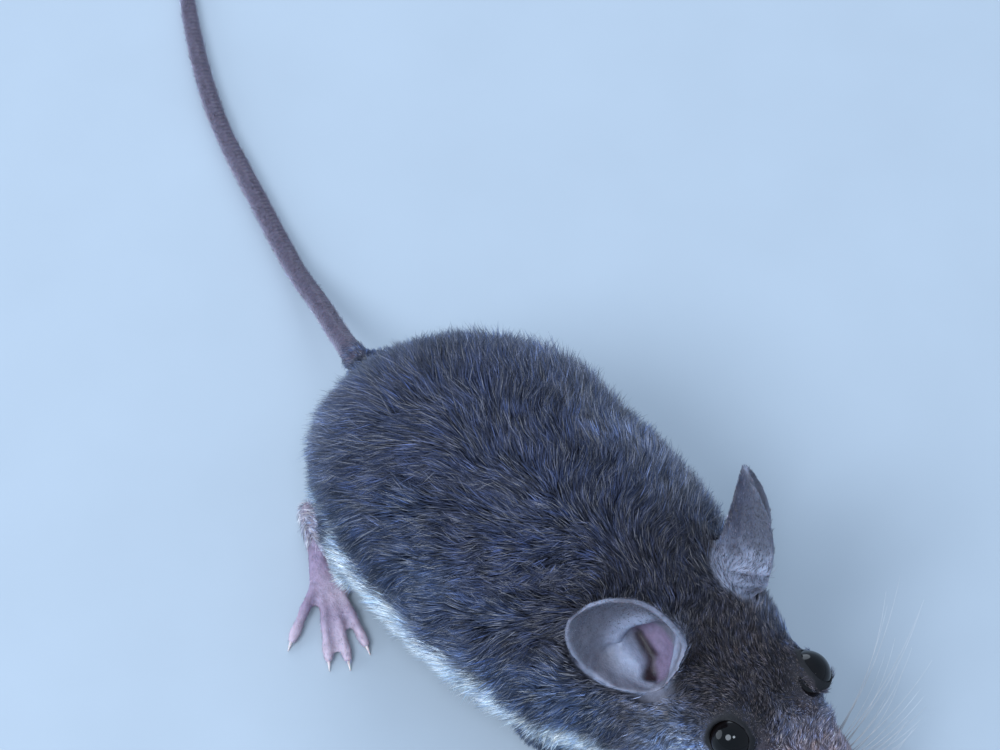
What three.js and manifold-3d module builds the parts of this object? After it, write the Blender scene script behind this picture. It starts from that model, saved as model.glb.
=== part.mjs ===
// A young grey mouse standing in a gentle curve, life size, out to the tips of its coat.
// Millimetres. In the mouse's own layout +X runs from the root of the tail to the nose,
// +Y is the mouse's left, +Z is up and z = 0 is the floor. The finished group is shifted so
// that its origin lies on the floor under the middle of its bounding box.
import * as THREE from 'three';
import { mergeVertices } from 'three/addons/utils/BufferGeometryUtils.js';
import Module from 'manifold-3d';

const wasm = await Module();
wasm.setup();

// ---------------------------------------------------------------- driving dimensions
const GAP = 0.3; // thin cut between neighbouring parts of flesh
const LAYOUT_SHIFT = [-3.08, -4.89]; // from the layout's origin to the middle of the box

// The body's outline, as [distance ahead of the tail's root, value] pairs.
const REAR = 0.6;
const NOSE = 75.2;
const REAR_ROUNDING = 3;
const NOSE_ROUNDING = 2.2;
const MID_LINE = [[-2, 0.9], [4, -0.5], [10, -2.6], [20, -5.6], [32, -6.6],
  [45, -6.1], [56, -4.6], [66, -3.4], [76, -2.0]];
const BACK_LINE = [[0, 10.5], [4, 14.2], [8, 19.2], [13, 25.8], [19, 29.7], [27, 31.4], [36, 30.4],
  [47, 27.0], [55, 24.2], [62, 21.7], [67, 17.6], [71.5, 13.4], [75.5, 10.4]];
const BELLY_LINE = [[0, 6.2], [5, 4.2], [14, 2.9], [30, 2.8], [44, 3.4],
  [54, 4.6], [63, 4.8], [70, 5.5], [75.5, 7.0]];
const WIDEST_LINE = [[0, 8.8], [10, 12.0], [26, 14.6], [44, 14.2],
  [56, 13.6], [64, 12.4], [70, 9.8], [75.5, 8.2]];
const HALF_WIDTH = [[0, 2.4], [4.4, 6.3], [9.5, 10.9], [15.3, 14.3], [23, 16.5], [34, 17.0], [46, 15.6],
  [52.5, 12.2], [57.5, 10.1], [63, 8.2], [67, 6.3], [71, 4.7], [74, 3.3], [75.5, 2.3]];
const ROUNDNESS = 2.15; // exponent of the cross-section: 2 is an ellipse, more is squarer
const BODY_RINGS = 27;
const BODY_SIDES = 22;

const NECK_REAR = { at: [47, 15], lean: 4 }; // cut planes: [x, z] and lean ahead of upright
const NECK_FRONT = { at: [51.8, 15], lean: 6 };
const MUZZLE_REAR = { at: [67.6, 11], lean: 27 };
const NOSE_REAR = { at: [73.6, 9.0], lean: 20 };
const JAW = { at: [61.5, 7.7], slope: -6 }; // its rear top corner, and how the mouth line drops ahead
const JAW_FRONT = { at: [72.2, 6.8], lean: 40 }; // the lower jaw ends short of the nose

const EYE = { x: 64.3, z: 17.2, apart: 10.6, radius: 2.45 };

// Each ear's wrap is half its arc in degrees, at shares of its length
const EAR = {
  thickness: 0.6,
  across: 8,
  along: 9,
  left: {
    base: [54.13, 6.8, 20.48], tip: [-0.44, 0.477, 0.761], facing: [0.722, 0.691, -0.016],
    length: 13.6, bulge: 3, blunt: 1.72, wrap: [[0, 140], [0.25, 98], [0.5, 92], [1, 105]],
  },
  right: {
    base: [55.6, -7.0, 21.06], tip: [-0.48, -0.196, 0.854], facing: [0.632, -0.753, 0.183],
    length: 12.4, bulge: 0.35, blunt: 2.5, wrap: [[0, 140], [0.25, 93], [0.5, 67], [1, 45]],
  },
};
const EAR_WIDTH = [[0, 4], [0.25, 8.3], [0.5, 7.3], [1, 5.6]]; // half its leaf, measured round the curve
const EAR_CLOSING = 0.45; // share of the length above which the rim closes in to the tip
const EAR_BOWL = 0.75; // share of the length up to which the bowl is kept clear of the head

const TAIL_LINE = [[0.9, -1.2, 9.2], [-4.9, 1.0, 6.2], [-10.1, 3.2, 3.9], [-15.6, 5.0, 2.1], [-20.4, 6.8, 1.2],
  [-26.4, 9.0, 1.04], [-39.4, 14.0, 0.94], [-53.6, 22.6, 0.8], [-62.5, 30.2, 0.6], [-69.0, 37.6, 0.36]];
const TAIL_RADIUS = [[0, 1.5], [0.05, 1.28], [0.12, 1.2], [0.25, 1.18], [0.5, 1.08], [0.75, 0.92], [1, 0.42]];
const TAIL_PARTS = 4;
const TAIL_SIDES = 8;
const TAIL_RINGS_PER_PART = 7;

const HIND_FOOT = {
  length: 10.9,
  halfWidth: [[0, 1.05], [0.35, 1.35], [0.7, 1.7], [1, 2.2]],
  height: [[0, 3.1], [0.3, 2.7], [0.7, 2.0], [1, 1.5]],
  // root ahead of the heel, root to the inner side, turn to the inner side, length
  toes: [[6.8, 1.1, 13, 3.3], [10.1, 1.35, 14, 6.6], [10.6, 0.45, 3, 7.4], [10.3, -0.5, -5, 7.4],
    [9.1, -1.35, -30, 6.4]],
  toeRadius: 0.62,
  claw: 1.25,
};
const FORE_FOOT = {
  length: 4.3,
  halfWidth: [[0, 1.15], [0.5, 1.5], [1, 1.75]],
  height: [[0, 2.5], [0.5, 1.9], [1, 1.35]],
  toes: [[3.4, 1.2, 28, 3.4], [3.9, 0.45, 9, 4.1], [3.9, -0.4, -8, 4.1], [3.4, -1.2, -27, 3.5]],
  toeRadius: 0.52,
  claw: 1.0,
};
const CLAW = { root: 0.3, thin: 0.1, rise: 0.5, bed: 0.35 }; // radii, height of the root, depth in the toe
const TOE_SIDES = 6;
const TOE_RINGS = 3;

// Feet: heel or wrist ahead of the tail's root and out from the layout's X axis, and turn-out.
const FEET = {
  hind_right: { at: [7.7, -14.6], turn: -34 },
  hind_left: { at: [10.7, 9.5], turn: 12 },
  fore_right: { at: [52.6, -12.8], turn: -10 },
  fore_left: { at: [55.2, 2.4], turn: 8 },
};
// Upper legs: centre ahead, out from the mid line and up, half sizes, and lean ahead of upright.
const THIGH = { ahead: 19.8, out: 11.2, up: 12.6, size: [8.0, 5.0, 7.6], lean: -24 };
const UPPER_ARM = { ahead: 46.4, out: 10.6, up: 10.4, size: [4.6, 4.6, 7.2], lean: -14 };
// Lower legs: knee or elbow, radius at both ends, and ankle or wrist ahead of the heel and up.
const SHANK = { knee: [20.5, 12.6, 7.2], radius: [3.3, 1.5], ankle: [1.3, 2.9] };
const FOREARM = { knee: [46.6, 10.4, 7.2], radius: [2.8, 1.3], ankle: [0.5, 2.6] };

const FINISH = {
  coat: { color: 0x4c4a52, roughness: 0.9 },
  face: { color: 0x4a4240, roughness: 0.85 },
  belly: { color: 0x9a9ba4, roughness: 0.9 },
  skin: { color: 0xb49aa6, roughness: 0.6 },
  ear: { color: 0x77757e, roughness: 0.7 },
  tail: { color: 0x6e6470, roughness: 0.65 },
  eye: { color: 0x08080a, roughness: 0.08 },
  nose: { color: 0x6f5356, roughness: 0.5 },
};

// ---------------------------------------------------------------- small tools
const radians = THREE.MathUtils.degToRad;
const UPRIGHT = new THREE.Vector3(0, 0, 1);

/** Smooth value of a list of [position, value] pairs, with no overshoot between the pairs. */
function profile(pairs, x) {
  const last = pairs.length - 1;
  if (x <= pairs[0][0]) return pairs[0][1];
  if (x >= pairs[last][0]) return pairs[last][1];
  const i = pairs.findIndex(([position], k) => x >= position && x < pairs[k + 1][0]);
  const slope = (k) => (pairs[k + 1][1] - pairs[k][1]) / (pairs[k + 1][0] - pairs[k][0]);
  const tangent = (k) => {
    if (k === 0) return slope(0);
    if (k === last) return slope(last - 1);
    const product = slope(k - 1) * slope(k);
    return product <= 0 ? 0 : (2 * product) / (slope(k - 1) + slope(k));
  };
  const span = pairs[i + 1][0] - pairs[i][0];
  const u = (x - pairs[i][0]) / span;
  const rise = pairs[i][1] * (1 + 2 * u) * (1 - u) ** 2 + pairs[i + 1][1] * (3 - 2 * u) * u ** 2;
  return rise + span * (tangent(i) * u * (1 - u) ** 2 - tangent(i + 1) * (1 - u) * u ** 2);
}

/** Height of a round end, from 0 at the end to 1 once the given depth is reached. */
function roundEnd(distance, depth) {
  const inward = Math.min(1, Math.max(0, distance / depth));
  return Math.sqrt(Math.max(1 - (1 - inward) ** 2, 0));
}

/** Steps from 0 to 1 that crowd towards both ends. */
function crowded(count, crowding = 1) {
  return Array.from({ length: count + 1 }, (_, i) => {
    const even = i / count;
    return THREE.MathUtils.lerp(even, (1 - Math.cos(Math.PI * even)) / 2, crowding);
  });
}

/** Signed volume of an indexed geometry, to tell which way its faces point. */
function signedVolume(positions, index) {
  const [a, b, c] = [new THREE.Vector3(), new THREE.Vector3(), new THREE.Vector3()];
  let volume = 0;
  for (let i = 0; i < index.length; i += 3) {
    a.fromArray(positions, 3 * index[i]);
    b.fromArray(positions, 3 * index[i + 1]);
    c.fromArray(positions, 3 * index[i + 2]);
    volume += a.dot(b.cross(c)) / 6;
  }
  return volume;
}

/** Closed geometry with its faces pointing out, from vertices and triangles. */
function closedGeometry(vertices, index) {
  const positions = vertices.flatMap((v) => [v.x, v.y, v.z]);
  const facing = signedVolume(positions, index) > 0 ? index : [...index].reverse();
  const geometry = new THREE.BufferGeometry();
  geometry.setAttribute('position', new THREE.Float32BufferAttribute(positions, 3));
  geometry.setIndex(facing);
  return geometry;
}

/** Closed body over a row of rings, each the same number of points in order. */
function loft(rings) {
  const sides = rings[0].length;
  const middle = (ring) => ring.reduce((sum, p) => sum.add(p), new THREE.Vector3()).divideScalar(sides);
  const vertices = [...rings.flat(), middle(rings[0]), middle(rings.at(-1))];
  const start = vertices.length - 2;
  const end = vertices.length - 1;
  const index = [];
  for (let r = 0; r < rings.length - 1; r += 1) {
    for (let s = 0; s < sides; s += 1) {
      const a = r * sides + s;
      const b = r * sides + ((s + 1) % sides);
      index.push(a, b, a + sides, b, b + sides, a + sides);
    }
  }
  for (let s = 0; s < sides; s += 1) {
    const next = (s + 1) % sides;
    const top = (rings.length - 1) * sides;
    index.push(start, next, s, end, top + s, top + next);
  }
  return closedGeometry(vertices, index);
}

/** Tube along a curve. size(t) gives its half width and half height, up its upright direction. */
function tube(curve, size, { sides, rings, up = UPRIGHT, from = 0, to = 1, crowding = 1 }) {
  const steps = crowded(rings, crowding);
  return loft(steps.map((step) => {
    const t = THREE.MathUtils.lerp(from, to, step);
    const centre = curve.getPointAt(t);
    const along = curve.getTangentAt(t);
    const side = new THREE.Vector3().crossVectors(up, along).normalize();
    const upright = new THREE.Vector3().crossVectors(along, side).normalize();
    const { wide, high } = size(t);
    return Array.from({ length: sides }, (_, s) => {
      const angle = (2 * Math.PI * s) / sides;
      return centre.clone()
        .addScaledVector(side, wide * Math.cos(angle))
        .addScaledVector(upright, high * Math.sin(angle));
    });
  }));
}

const curveOf = (points) => new THREE.CatmullRomCurve3(points.map((p) => new THREE.Vector3(...p)));

// ---------------------------------------------------------------- joining and cutting
/** Solid of a closed geometry. */
function solid(geometry) {
  const bare = geometry.clone();
  bare.deleteAttribute('normal');
  bare.deleteAttribute('uv');
  const merged = mergeVertices(bare, 1e-5);
  const vertProperties = new Float32Array(merged.attributes.position.array);
  const triVerts = new Uint32Array(merged.index.array);
  return new wasm.Manifold(new wasm.Mesh({ numProp: 3, vertProperties, triVerts }));
}

/** Geometry of a solid. */
function geometryOf(body) {
  const mesh = body.getMesh();
  const geometry = new THREE.BufferGeometry();
  geometry.setAttribute('position', new THREE.Float32BufferAttribute(mesh.vertProperties, 3));
  geometry.setIndex(Array.from(mesh.triVerts));
  return geometry;
}

/** Solid half space: everything ahead of a plane that stands at [x, z] and leans ahead at its top. */
function aheadOf({ at: [x, z], lean }, offset = 0) {
  const size = 300;
  const box = new THREE.BoxGeometry(size, size, size);
  box.translate(size / 2 + offset, 0, 0);
  box.rotateY(radians(lean));
  box.translate(x, 0, z);
  return solid(box);
}

/** The space that the lower jaw takes out of the head. */
function jawSpace(grow = 0) {
  const size = 60;
  const [x, z] = JAW.at;
  const box = new THREE.BoxGeometry(size, size, size).translate(size / 2 - grow, 0, -size / 2 + grow);
  box.rotateY(radians(-JAW.slope));
  box.translate(x, 0, z);
  return solid(box);
}

/** Solid half space above the floor. */
function aboveFloor() {
  const size = 300;
  return solid(new THREE.BoxGeometry(size, size, size).translate(0, 0, size / 2));
}

const onFloor = aboveFloor();
const resting = (body) => body.intersect(onFloor);

/** The two sides of a thin cut: what is behind the plane and what is ahead of it. */
function part(body, plane) {
  return {
    behind: body.subtract(aheadOf(plane, -GAP / 2)),
    ahead: body.intersect(aheadOf(plane, GAP / 2)),
  };
}

// ---------------------------------------------------------------- body
const midLine = (x) => profile(MID_LINE, x);

/** One cross-section of the body, square to its mid line. */
function bodyRing(x) {
  const step = 0.5;
  const along = new THREE.Vector2(2 * step, midLine(x + step) - midLine(x - step)).normalize();
  const round = roundEnd(x - REAR, REAR_ROUNDING) * roundEnd(NOSE - x, NOSE_ROUNDING);
  const widest = profile(WIDEST_LINE, x);
  const above = (profile(BACK_LINE, x) - widest) * round;
  const below = (widest - profile(BELLY_LINE, x)) * round;
  const wide = profile(HALF_WIDTH, x) * round;
  return Array.from({ length: BODY_SIDES }, (_, s) => {
    const angle = (2 * Math.PI * s) / BODY_SIDES;
    const power = 2 / ROUNDNESS;
    const out = Math.sign(Math.cos(angle)) * Math.abs(Math.cos(angle)) ** power * wide;
    const rise = Math.sign(Math.sin(angle)) * Math.abs(Math.sin(angle)) ** power;
    return new THREE.Vector3(
      x - out * along.y,
      midLine(x) + out * along.x,
      widest + rise * (rise > 0 ? above : below),
    );
  });
}

function bodySolid() {
  const short = 0.02; // the first and last rings stop this far inside the rounded ends
  const steps = crowded(BODY_RINGS, 0.55);
  const rings = steps.map((t) => bodyRing(THREE.MathUtils.lerp(REAR + short, NOSE - short, t)));
  return solid(loft(rings));
}

// ---------------------------------------------------------------- eyes
const eyeCentre = (side) => new THREE.Vector3(EYE.x, midLine(EYE.x) + (side * EYE.apart) / 2, EYE.z);

function eyeGeometry(grow = 0) {
  return new THREE.SphereGeometry(EYE.radius + grow, 12, 8);
}

// ---------------------------------------------------------------- ears
/** Directions of an ear: along it to the tip, out of its bowl, and across it. */
function earFrame(word) {
  const { base: [ahead, out, up], tip, facing } = EAR[word];
  const length = new THREE.Vector3(...tip).normalize();
  const open = new THREE.Vector3(...facing);
  open.addScaledVector(length, -open.dot(length)).normalize();
  const across = new THREE.Vector3().crossVectors(length, open);
  return { base: new THREE.Vector3(ahead, midLine(ahead) + out, up), length, open, across };
}

/** Point of an ear at u across (-1 to 1) and v from base to tip, pushed out through its skin. */
function earPoint(word, u, v, push) {
  const { base, length, open, across } = earFrame(word);
  const { blunt, wrap: wraps } = EAR[word];
  const beyond = Math.max(0, v - EAR_CLOSING) / (1 - EAR_CLOSING);
  const closing = (1 - beyond ** blunt) ** (1 / blunt);
  const curl = radians(profile(wraps, v));
  const radius = profile(EAR_WIDTH, v) / curl;
  const wrap = curl * closing;
  const angle = u * wrap;
  const rim = Math.cos(Math.min(wrap, Math.PI / 2));
  return base.clone()
    .addScaledVector(length, EAR[word].length * v)
    .addScaledVector(open, radius * (rim - Math.cos(angle)) - push * Math.cos(angle))
    .addScaledVector(open, EAR[word].bulge * Math.sin(Math.PI * v))
    .addScaledVector(across, (radius + push) * Math.sin(angle));
}

/** The pit of an ear in the head: its bowl, its leaf and the gap behind the leaf. */
function earPit(word) {
  const steps = 7;
  const sides = 10;
  const past = 1.1; // reaches round past the rims
  const outside = EAR.thickness / 2 + GAP;
  return solid(loft(Array.from({ length: steps + 1 }, (_, j) => {
    const v = THREE.MathUtils.lerp(-0.03, EAR_BOWL, j / steps);
    const across = Array.from({ length: sides + 1 }, (__, i) => past * ((2 * i) / sides - 1));
    return across.map((u) => earPoint(word, u, v, outside));
  })));
}

/** Curved leaf of an ear: an outer and an inner sheet, joined round the rim. */
function earSolid(word) {
  const half = EAR.thickness / 2;
  const { across, along } = EAR;
  const vertices = [];
  for (const push of [half, -half]) {
    for (let j = 0; j <= along; j += 1) {
      const v = 0.994 * (j / along) ** 0.85;
      for (let i = 0; i <= across; i += 1) {
        vertices.push(earPoint(word, (2 * i) / across - 1, v, push));
      }
    }
  }
  const sheet = (across + 1) * (along + 1);
  const index = [];
  const at = (layer, i, j) => layer * sheet + j * (across + 1) + i;
  const quad = (a, b, c, d) => index.push(a, b, c, a, c, d);
  for (let j = 0; j < along; j += 1) {
    for (let i = 0; i < across; i += 1) {
      quad(at(0, i, j), at(0, i + 1, j), at(0, i + 1, j + 1), at(0, i, j + 1));
      quad(at(1, i, j), at(1, i, j + 1), at(1, i + 1, j + 1), at(1, i + 1, j));
    }
    quad(at(0, 0, j), at(0, 0, j + 1), at(1, 0, j + 1), at(1, 0, j));
    quad(at(0, across, j), at(1, across, j), at(1, across, j + 1), at(0, across, j + 1));
  }
  for (let i = 0; i < across; i += 1) {
    quad(at(0, i, 0), at(1, i, 0), at(1, i + 1, 0), at(0, i + 1, 0));
    quad(at(0, i, along), at(0, i + 1, along), at(1, i + 1, along), at(1, i, along));
  }
  return solid(closedGeometry(vertices, index));
}

// ---------------------------------------------------------------- tail
const tailCurve = curveOf(TAIL_LINE);

/** Section of the tail at t from root to tip. */
function tailSize(t, grow = 0) {
  const tipRounding = 0.012;
  const least = 0.08;
  const radius = Math.max(least, profile(TAIL_RADIUS, t) * roundEnd(1 - t, tipRounding)) + grow;
  return { wide: radius, high: radius };
}

/** The tail's lengths, root first, each a thin cut from the next. */
function tailLengths() {
  const cut = GAP / 2 / tailCurve.getLength();
  return Array.from({ length: TAIL_PARTS }, (_, i) => {
    const last = i === TAIL_PARTS - 1;
    const from = i === 0 ? 0 : i / TAIL_PARTS + cut;
    const to = last ? 1 : (i + 1) / TAIL_PARTS - cut;
    const crowding = last ? 0.4 : 0;
    const shape = { sides: TAIL_SIDES, rings: TAIL_RINGS_PER_PART, from, to, crowding };
    return resting(solid(tube(tailCurve, tailSize, shape)));
  });
}

/** The socket of the tail's root in the rump. */
function tailSocket() {
  const reach = 0.06; // share of the tail's length
  const root = tailCurve.getPointAt(0).addScaledVector(tailCurve.getTangentAt(0), -GAP);
  const socket = new THREE.LineCurve3(root, tailCurve.getPointAt(reach));
  const size = (t) => tailSize(t * reach, GAP);
  return solid(tube(socket, size, { sides: TAIL_SIDES, rings: 2, crowding: 0 }));
}

// ---------------------------------------------------------------- feet
/** Toe path in the foot's own layout: it leaves the foot, bends over its knuckle and lies down. */
function toePath([root, inner, turn, length], radius) {
  const heading = new THREE.Vector2(Math.cos(radians(turn)), Math.sin(radians(turn)));
  const bones = [[-0.22, 1.15], [0.12, 1.1], [0.45, 1.45], [0.78, 0.95], [1, 0.86]];
  return curveOf(bones.map(([share, lift]) => [
    root + heading.x * length * share,
    inner + heading.y * length * share,
    lift * radius,
  ]));
}

/** Claw at the end of a toe, its root bedded in the toe, in the foot's own layout. */
function clawSolid(foot, toe) {
  const curve = toePath(toe, foot.toeRadius);
  const tip = curve.getPointAt(1);
  const ahead = curve.getTangentAt(1).setZ(0).normalize();
  const { root, thin, rise, bed } = CLAW;
  const arch = 0.12;
  const path = new THREE.QuadraticBezierCurve3(
    tip.clone().addScaledVector(ahead, -bed).setZ(rise),
    tip.clone().addScaledVector(ahead, foot.claw / 2).setZ(rise + arch),
    tip.clone().addScaledVector(ahead, foot.claw).setZ(2.5 * thin),
  );
  const size = (t) => {
    const radius = THREE.MathUtils.lerp(root, thin, t);
    return { wide: radius, high: radius };
  };
  return solid(tube(path, size, { sides: 4, rings: 2 }));
}

/** Foot with its toes and claws, heel at the origin and toes ahead; inner side is +Y. */
function footSolid(foot, grow = 0) {
  const { length, toeRadius } = foot;
  const least = 0.05;
  const intoFloor = 0.35; // the sole reaches below the floor, which then cuts it flat
  const sole = curveOf([[-1.0, 0, 1.3], [length * 0.4, 0, 1.1], [length, 0, 0.8]]);
  const soleSize = (t) => {
    const round = roundEnd(t, 0.12) * roundEnd(1 - t, 0.16);
    return {
      wide: Math.max(least, profile(foot.halfWidth, t) * round) + grow,
      high: Math.max(least, (profile(foot.height, t) / 2 + intoFloor) * round) + grow,
    };
  };
  const toeSize = (t) => {
    const knuckles = 1 + 0.1 * Math.cos(t * 4 * Math.PI);
    const taper = THREE.MathUtils.lerp(1.05, 0.85, t);
    const radius = Math.max(least, toeRadius * taper * knuckles * roundEnd(1 - t, 0.1)) + grow;
    return { wide: radius, high: radius };
  };
  let body = solid(tube(sole, soleSize, { sides: 8, rings: 5 }));
  for (const toe of foot.toes) {
    const shape = { sides: TOE_SIDES, rings: TOE_RINGS, crowding: 0.6 };
    body = body.add(solid(tube(toePath(toe, toeRadius), toeSize, shape))).add(clawSolid(foot, toe));
  }
  return body;
}

/** Moves a solid from a foot's own layout to the mouse's; the right foot is the left one mirrored. */
function placeFoot(body, { at: [x, y], turn }, side) {
  const geometry = geometryOf(body);
  geometry.scale(1, -side, 1);
  if (side > 0) {
    geometry.setIndex([...geometry.index.array].reverse());
  }
  geometry.rotateZ(radians(turn));
  geometry.translate(x, y, 0);
  return solid(geometry);
}

// ---------------------------------------------------------------- legs
/** Upper leg: an egg of muscle and coat. */
function upperLeg({ ahead, out, up, size, lean }, side, grow = 0) {
  const egg = new THREE.SphereGeometry(1, 12, 8);
  egg.rotateX(Math.PI / 2);
  egg.scale(size[0] + grow, size[1] + grow, size[2] + grow);
  egg.rotateY(radians(-lean));
  egg.translate(ahead, midLine(ahead) + side * out, up);
  return solid(egg);
}

/** Lower leg: from inside the upper leg down to the ankle or wrist. */
function lowerLeg({ knee, radius, ankle }, place, side, grow = 0) {
  const turn = radians(place.turn);
  const [ahead, out, up] = knee;
  const top = new THREE.Vector3(ahead, midLine(ahead) + side * out, up);
  const end = new THREE.Vector3(
    place.at[0] + ankle[0] * Math.cos(turn),
    place.at[1] + ankle[0] * Math.sin(turn),
    ankle[1],
  );
  const size = (t) => {
    const around = THREE.MathUtils.lerp(radius[0], radius[1], t) * Math.max(0.1, roundEnd(t, 0.15)) + grow;
    return { wide: around, high: around };
  };
  const up3 = new THREE.Vector3(0, side, 0);
  return solid(tube(new THREE.LineCurve3(top, end), size, { sides: 8, rings: 4, up: up3 }));
}

// ---------------------------------------------------------------- putting it together
const mouse = new THREE.Group();
mouse.name = 'grey_mouse';
mouse.position.set(LAYOUT_SHIFT[0], LAYOUT_SHIFT[1], 0);

function addMesh(name, body, finish) {
  const geometry = geometryOf(body);
  geometry.computeVertexNormals();
  const material = new THREE.MeshStandardMaterial({ ...FINISH[finish], metalness: 0 });
  const mesh = new THREE.Mesh(geometry, material);
  mesh.name = name;
  mouse.add(mesh);
}

const SIDES = [['left', 1], ['right', -1]];
let flesh = bodySolid();

// Legs and feet come out of the body, each in a socket one gap larger.
for (const [word, side] of SIDES) {
  for (const [limb, foot, upper, lower, names] of [
    ['hind', HIND_FOOT, THIGH, SHANK, ['thigh', 'shank', 'hind_foot']],
    ['fore', FORE_FOOT, UPPER_ARM, FOREARM, ['upper_arm', 'forearm', 'forefoot']],
  ]) {
    const place = FEET[`${limb}_${word}`];
    const upperSocket = upperLeg(upper, side, GAP);
    const footSocket = placeFoot(footSolid(foot, GAP), place, side);
    const lowerBody = lowerLeg(lower, place, side).subtract(upperSocket).subtract(footSocket);
    flesh = flesh.subtract(upperSocket).subtract(lowerLeg(lower, place, side, GAP)).subtract(footSocket);
    addMesh(`${names[0]}_${word}`, upperLeg(upper, side), 'coat');
    addMesh(`${names[1]}_${word}`, resting(lowerBody), 'belly');
    addMesh(`${names[2]}_${word}`, resting(placeFoot(footSolid(foot), place, side)), 'skin');
  }
}

for (const [word, side] of SIDES) {
  const centre = eyeCentre(side);
  flesh = flesh.subtract(solid(eyeGeometry(GAP).translate(centre.x, centre.y, centre.z)));
  const eye = new THREE.Mesh(eyeGeometry(), new THREE.MeshStandardMaterial({ ...FINISH.eye, metalness: 0 }));
  eye.name = `eye_${word}`;
  eye.position.copy(centre);
  mouse.add(eye);
  flesh = flesh.subtract(earPit(word));
  addMesh(`ear_${word}`, earSolid(word), 'ear');
}

flesh = flesh.subtract(tailSocket());
tailLengths().forEach((body, i) => addMesh(`tail_${i + 1}`, body, 'tail'));

const trunk = part(flesh, NECK_REAR);
const neck = part(trunk.ahead, NECK_FRONT);
const jaw = part(neck.ahead.intersect(jawSpace()), JAW_FRONT).behind;
const skull = neck.ahead.subtract(jawSpace(GAP));
const muzzle = part(skull, MUZZLE_REAR);
const nose = part(muzzle.ahead, NOSE_REAR);
addMesh('trunk', trunk.behind, 'coat');
addMesh('neck', neck.behind, 'coat');
addMesh('head', muzzle.behind, 'face');
addMesh('muzzle', nose.behind, 'face');
addMesh('lower_jaw', jaw, 'belly');
addMesh('nose', nose.ahead, 'nose');

export default mouse;
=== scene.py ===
"""A young grey mouse at life size, standing low in a gentle curve.

One skin covers the whole animal, a coat of fine tufts lies over it, and the eyes, claws and
whiskers are pieces of their own. Lengths are in millimetres until a mesh is made, in metres.
x runs from the tail to the nose, y to the mouse's left, z up from the floor.
"""
import math

import bmesh
import bpy
import numpy as np
from mathutils import Matrix, Vector
from mathutils.bvhtree import BVHTree
from mathutils.kdtree import KDTree


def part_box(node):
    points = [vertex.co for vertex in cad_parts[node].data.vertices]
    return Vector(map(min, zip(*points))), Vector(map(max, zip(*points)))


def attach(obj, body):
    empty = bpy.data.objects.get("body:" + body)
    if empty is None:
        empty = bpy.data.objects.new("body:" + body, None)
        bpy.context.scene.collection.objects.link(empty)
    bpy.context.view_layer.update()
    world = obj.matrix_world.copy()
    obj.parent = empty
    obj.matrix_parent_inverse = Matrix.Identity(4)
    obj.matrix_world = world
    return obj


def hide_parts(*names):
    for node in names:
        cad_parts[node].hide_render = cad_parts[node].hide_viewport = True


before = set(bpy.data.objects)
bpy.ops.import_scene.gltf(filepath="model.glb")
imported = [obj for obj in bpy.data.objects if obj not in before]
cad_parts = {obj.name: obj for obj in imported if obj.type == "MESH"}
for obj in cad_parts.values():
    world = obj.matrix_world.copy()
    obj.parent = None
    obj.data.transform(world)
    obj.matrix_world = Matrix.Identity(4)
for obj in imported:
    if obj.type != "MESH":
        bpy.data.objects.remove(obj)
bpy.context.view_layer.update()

MM = 0.001

# ---------------------------------------------------------------- sizes
SHIFT = np.array([-3.08, -4.89, 0.0])  # from the animal's own layout to the frame's origin
SIDES = {"left": 1, "right": -1}

VOXEL = 0.23  # of the remesh that joins the parts
GROWTH = 0.2  # every part grows by this first, so that the thin cuts between them close

# How deep the skin lies under the outline of the coat, by part
DEPTH = {
    "trunk": 2.3, "neck": 2.0, "head": 1.25, "muzzle": 0.45, "lower_jaw": 0.5, "nose": 0.0,
    "thigh": 1.9, "shank": 0.55, "upper_arm": 1.3, "forearm": 0.5,
    "hind_foot": 0.0, "forefoot": 0.0, "ear": 0.0, "tail": 0.0,
}

EYE = {side: {"centre": None, "radius": None} for side in SIDES}


def part_word(node):
    """The part that a node belongs to, without its side or number."""
    for ending in ("_left", "_right", "_1", "_2", "_3", "_4"):
        node = node.removesuffix(ending)
    return node


def box_mm(node):
    low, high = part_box(node)
    return np.array(low) / MM, np.array(high) / MM


for side in SIDES:
    low, high = box_mm(f"eye_{side}")
    EYE[side] = {"centre": (low + high) / 2, "radius": float((high - low).max()) / 2}

FLESH = [node for node in sorted(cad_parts) if not node.startswith("eye")]


# ---------------------------------------------------------------- mesh tools
def make_object(name, vertices, faces):
    """Object from vertices in millimetres and faces, all with the same number of corners."""
    mesh = bpy.data.meshes.new(name)
    faces = np.asarray(faces, dtype=np.int32)
    corners = faces.shape[1]
    mesh.vertices.add(len(vertices))
    mesh.vertices.foreach_set("co", (np.asarray(vertices, dtype=np.float32) * MM).ravel())
    mesh.loops.add(faces.size)
    mesh.loops.foreach_set("vertex_index", faces.ravel())
    mesh.polygons.add(len(faces))
    mesh.polygons.foreach_set("loop_start", np.arange(0, faces.size, corners, dtype=np.int32))
    mesh.update(calc_edges=True)
    mesh.validate()
    piece = bpy.data.objects.new(name, mesh)
    bpy.context.scene.collection.objects.link(piece)
    return piece


def vertices_of(mesh):
    flat = np.empty(len(mesh.vertices) * 3, dtype=np.float32)
    mesh.vertices.foreach_get("co", flat)
    return flat.reshape(-1, 3).astype(np.float64) / MM


def triangles_of(mesh):
    mesh.calc_loop_triangles()
    flat = np.empty(len(mesh.loop_triangles) * 3, dtype=np.int32)
    mesh.loop_triangles.foreach_get("vertices", flat)
    return flat.reshape(-1, 3)


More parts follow.
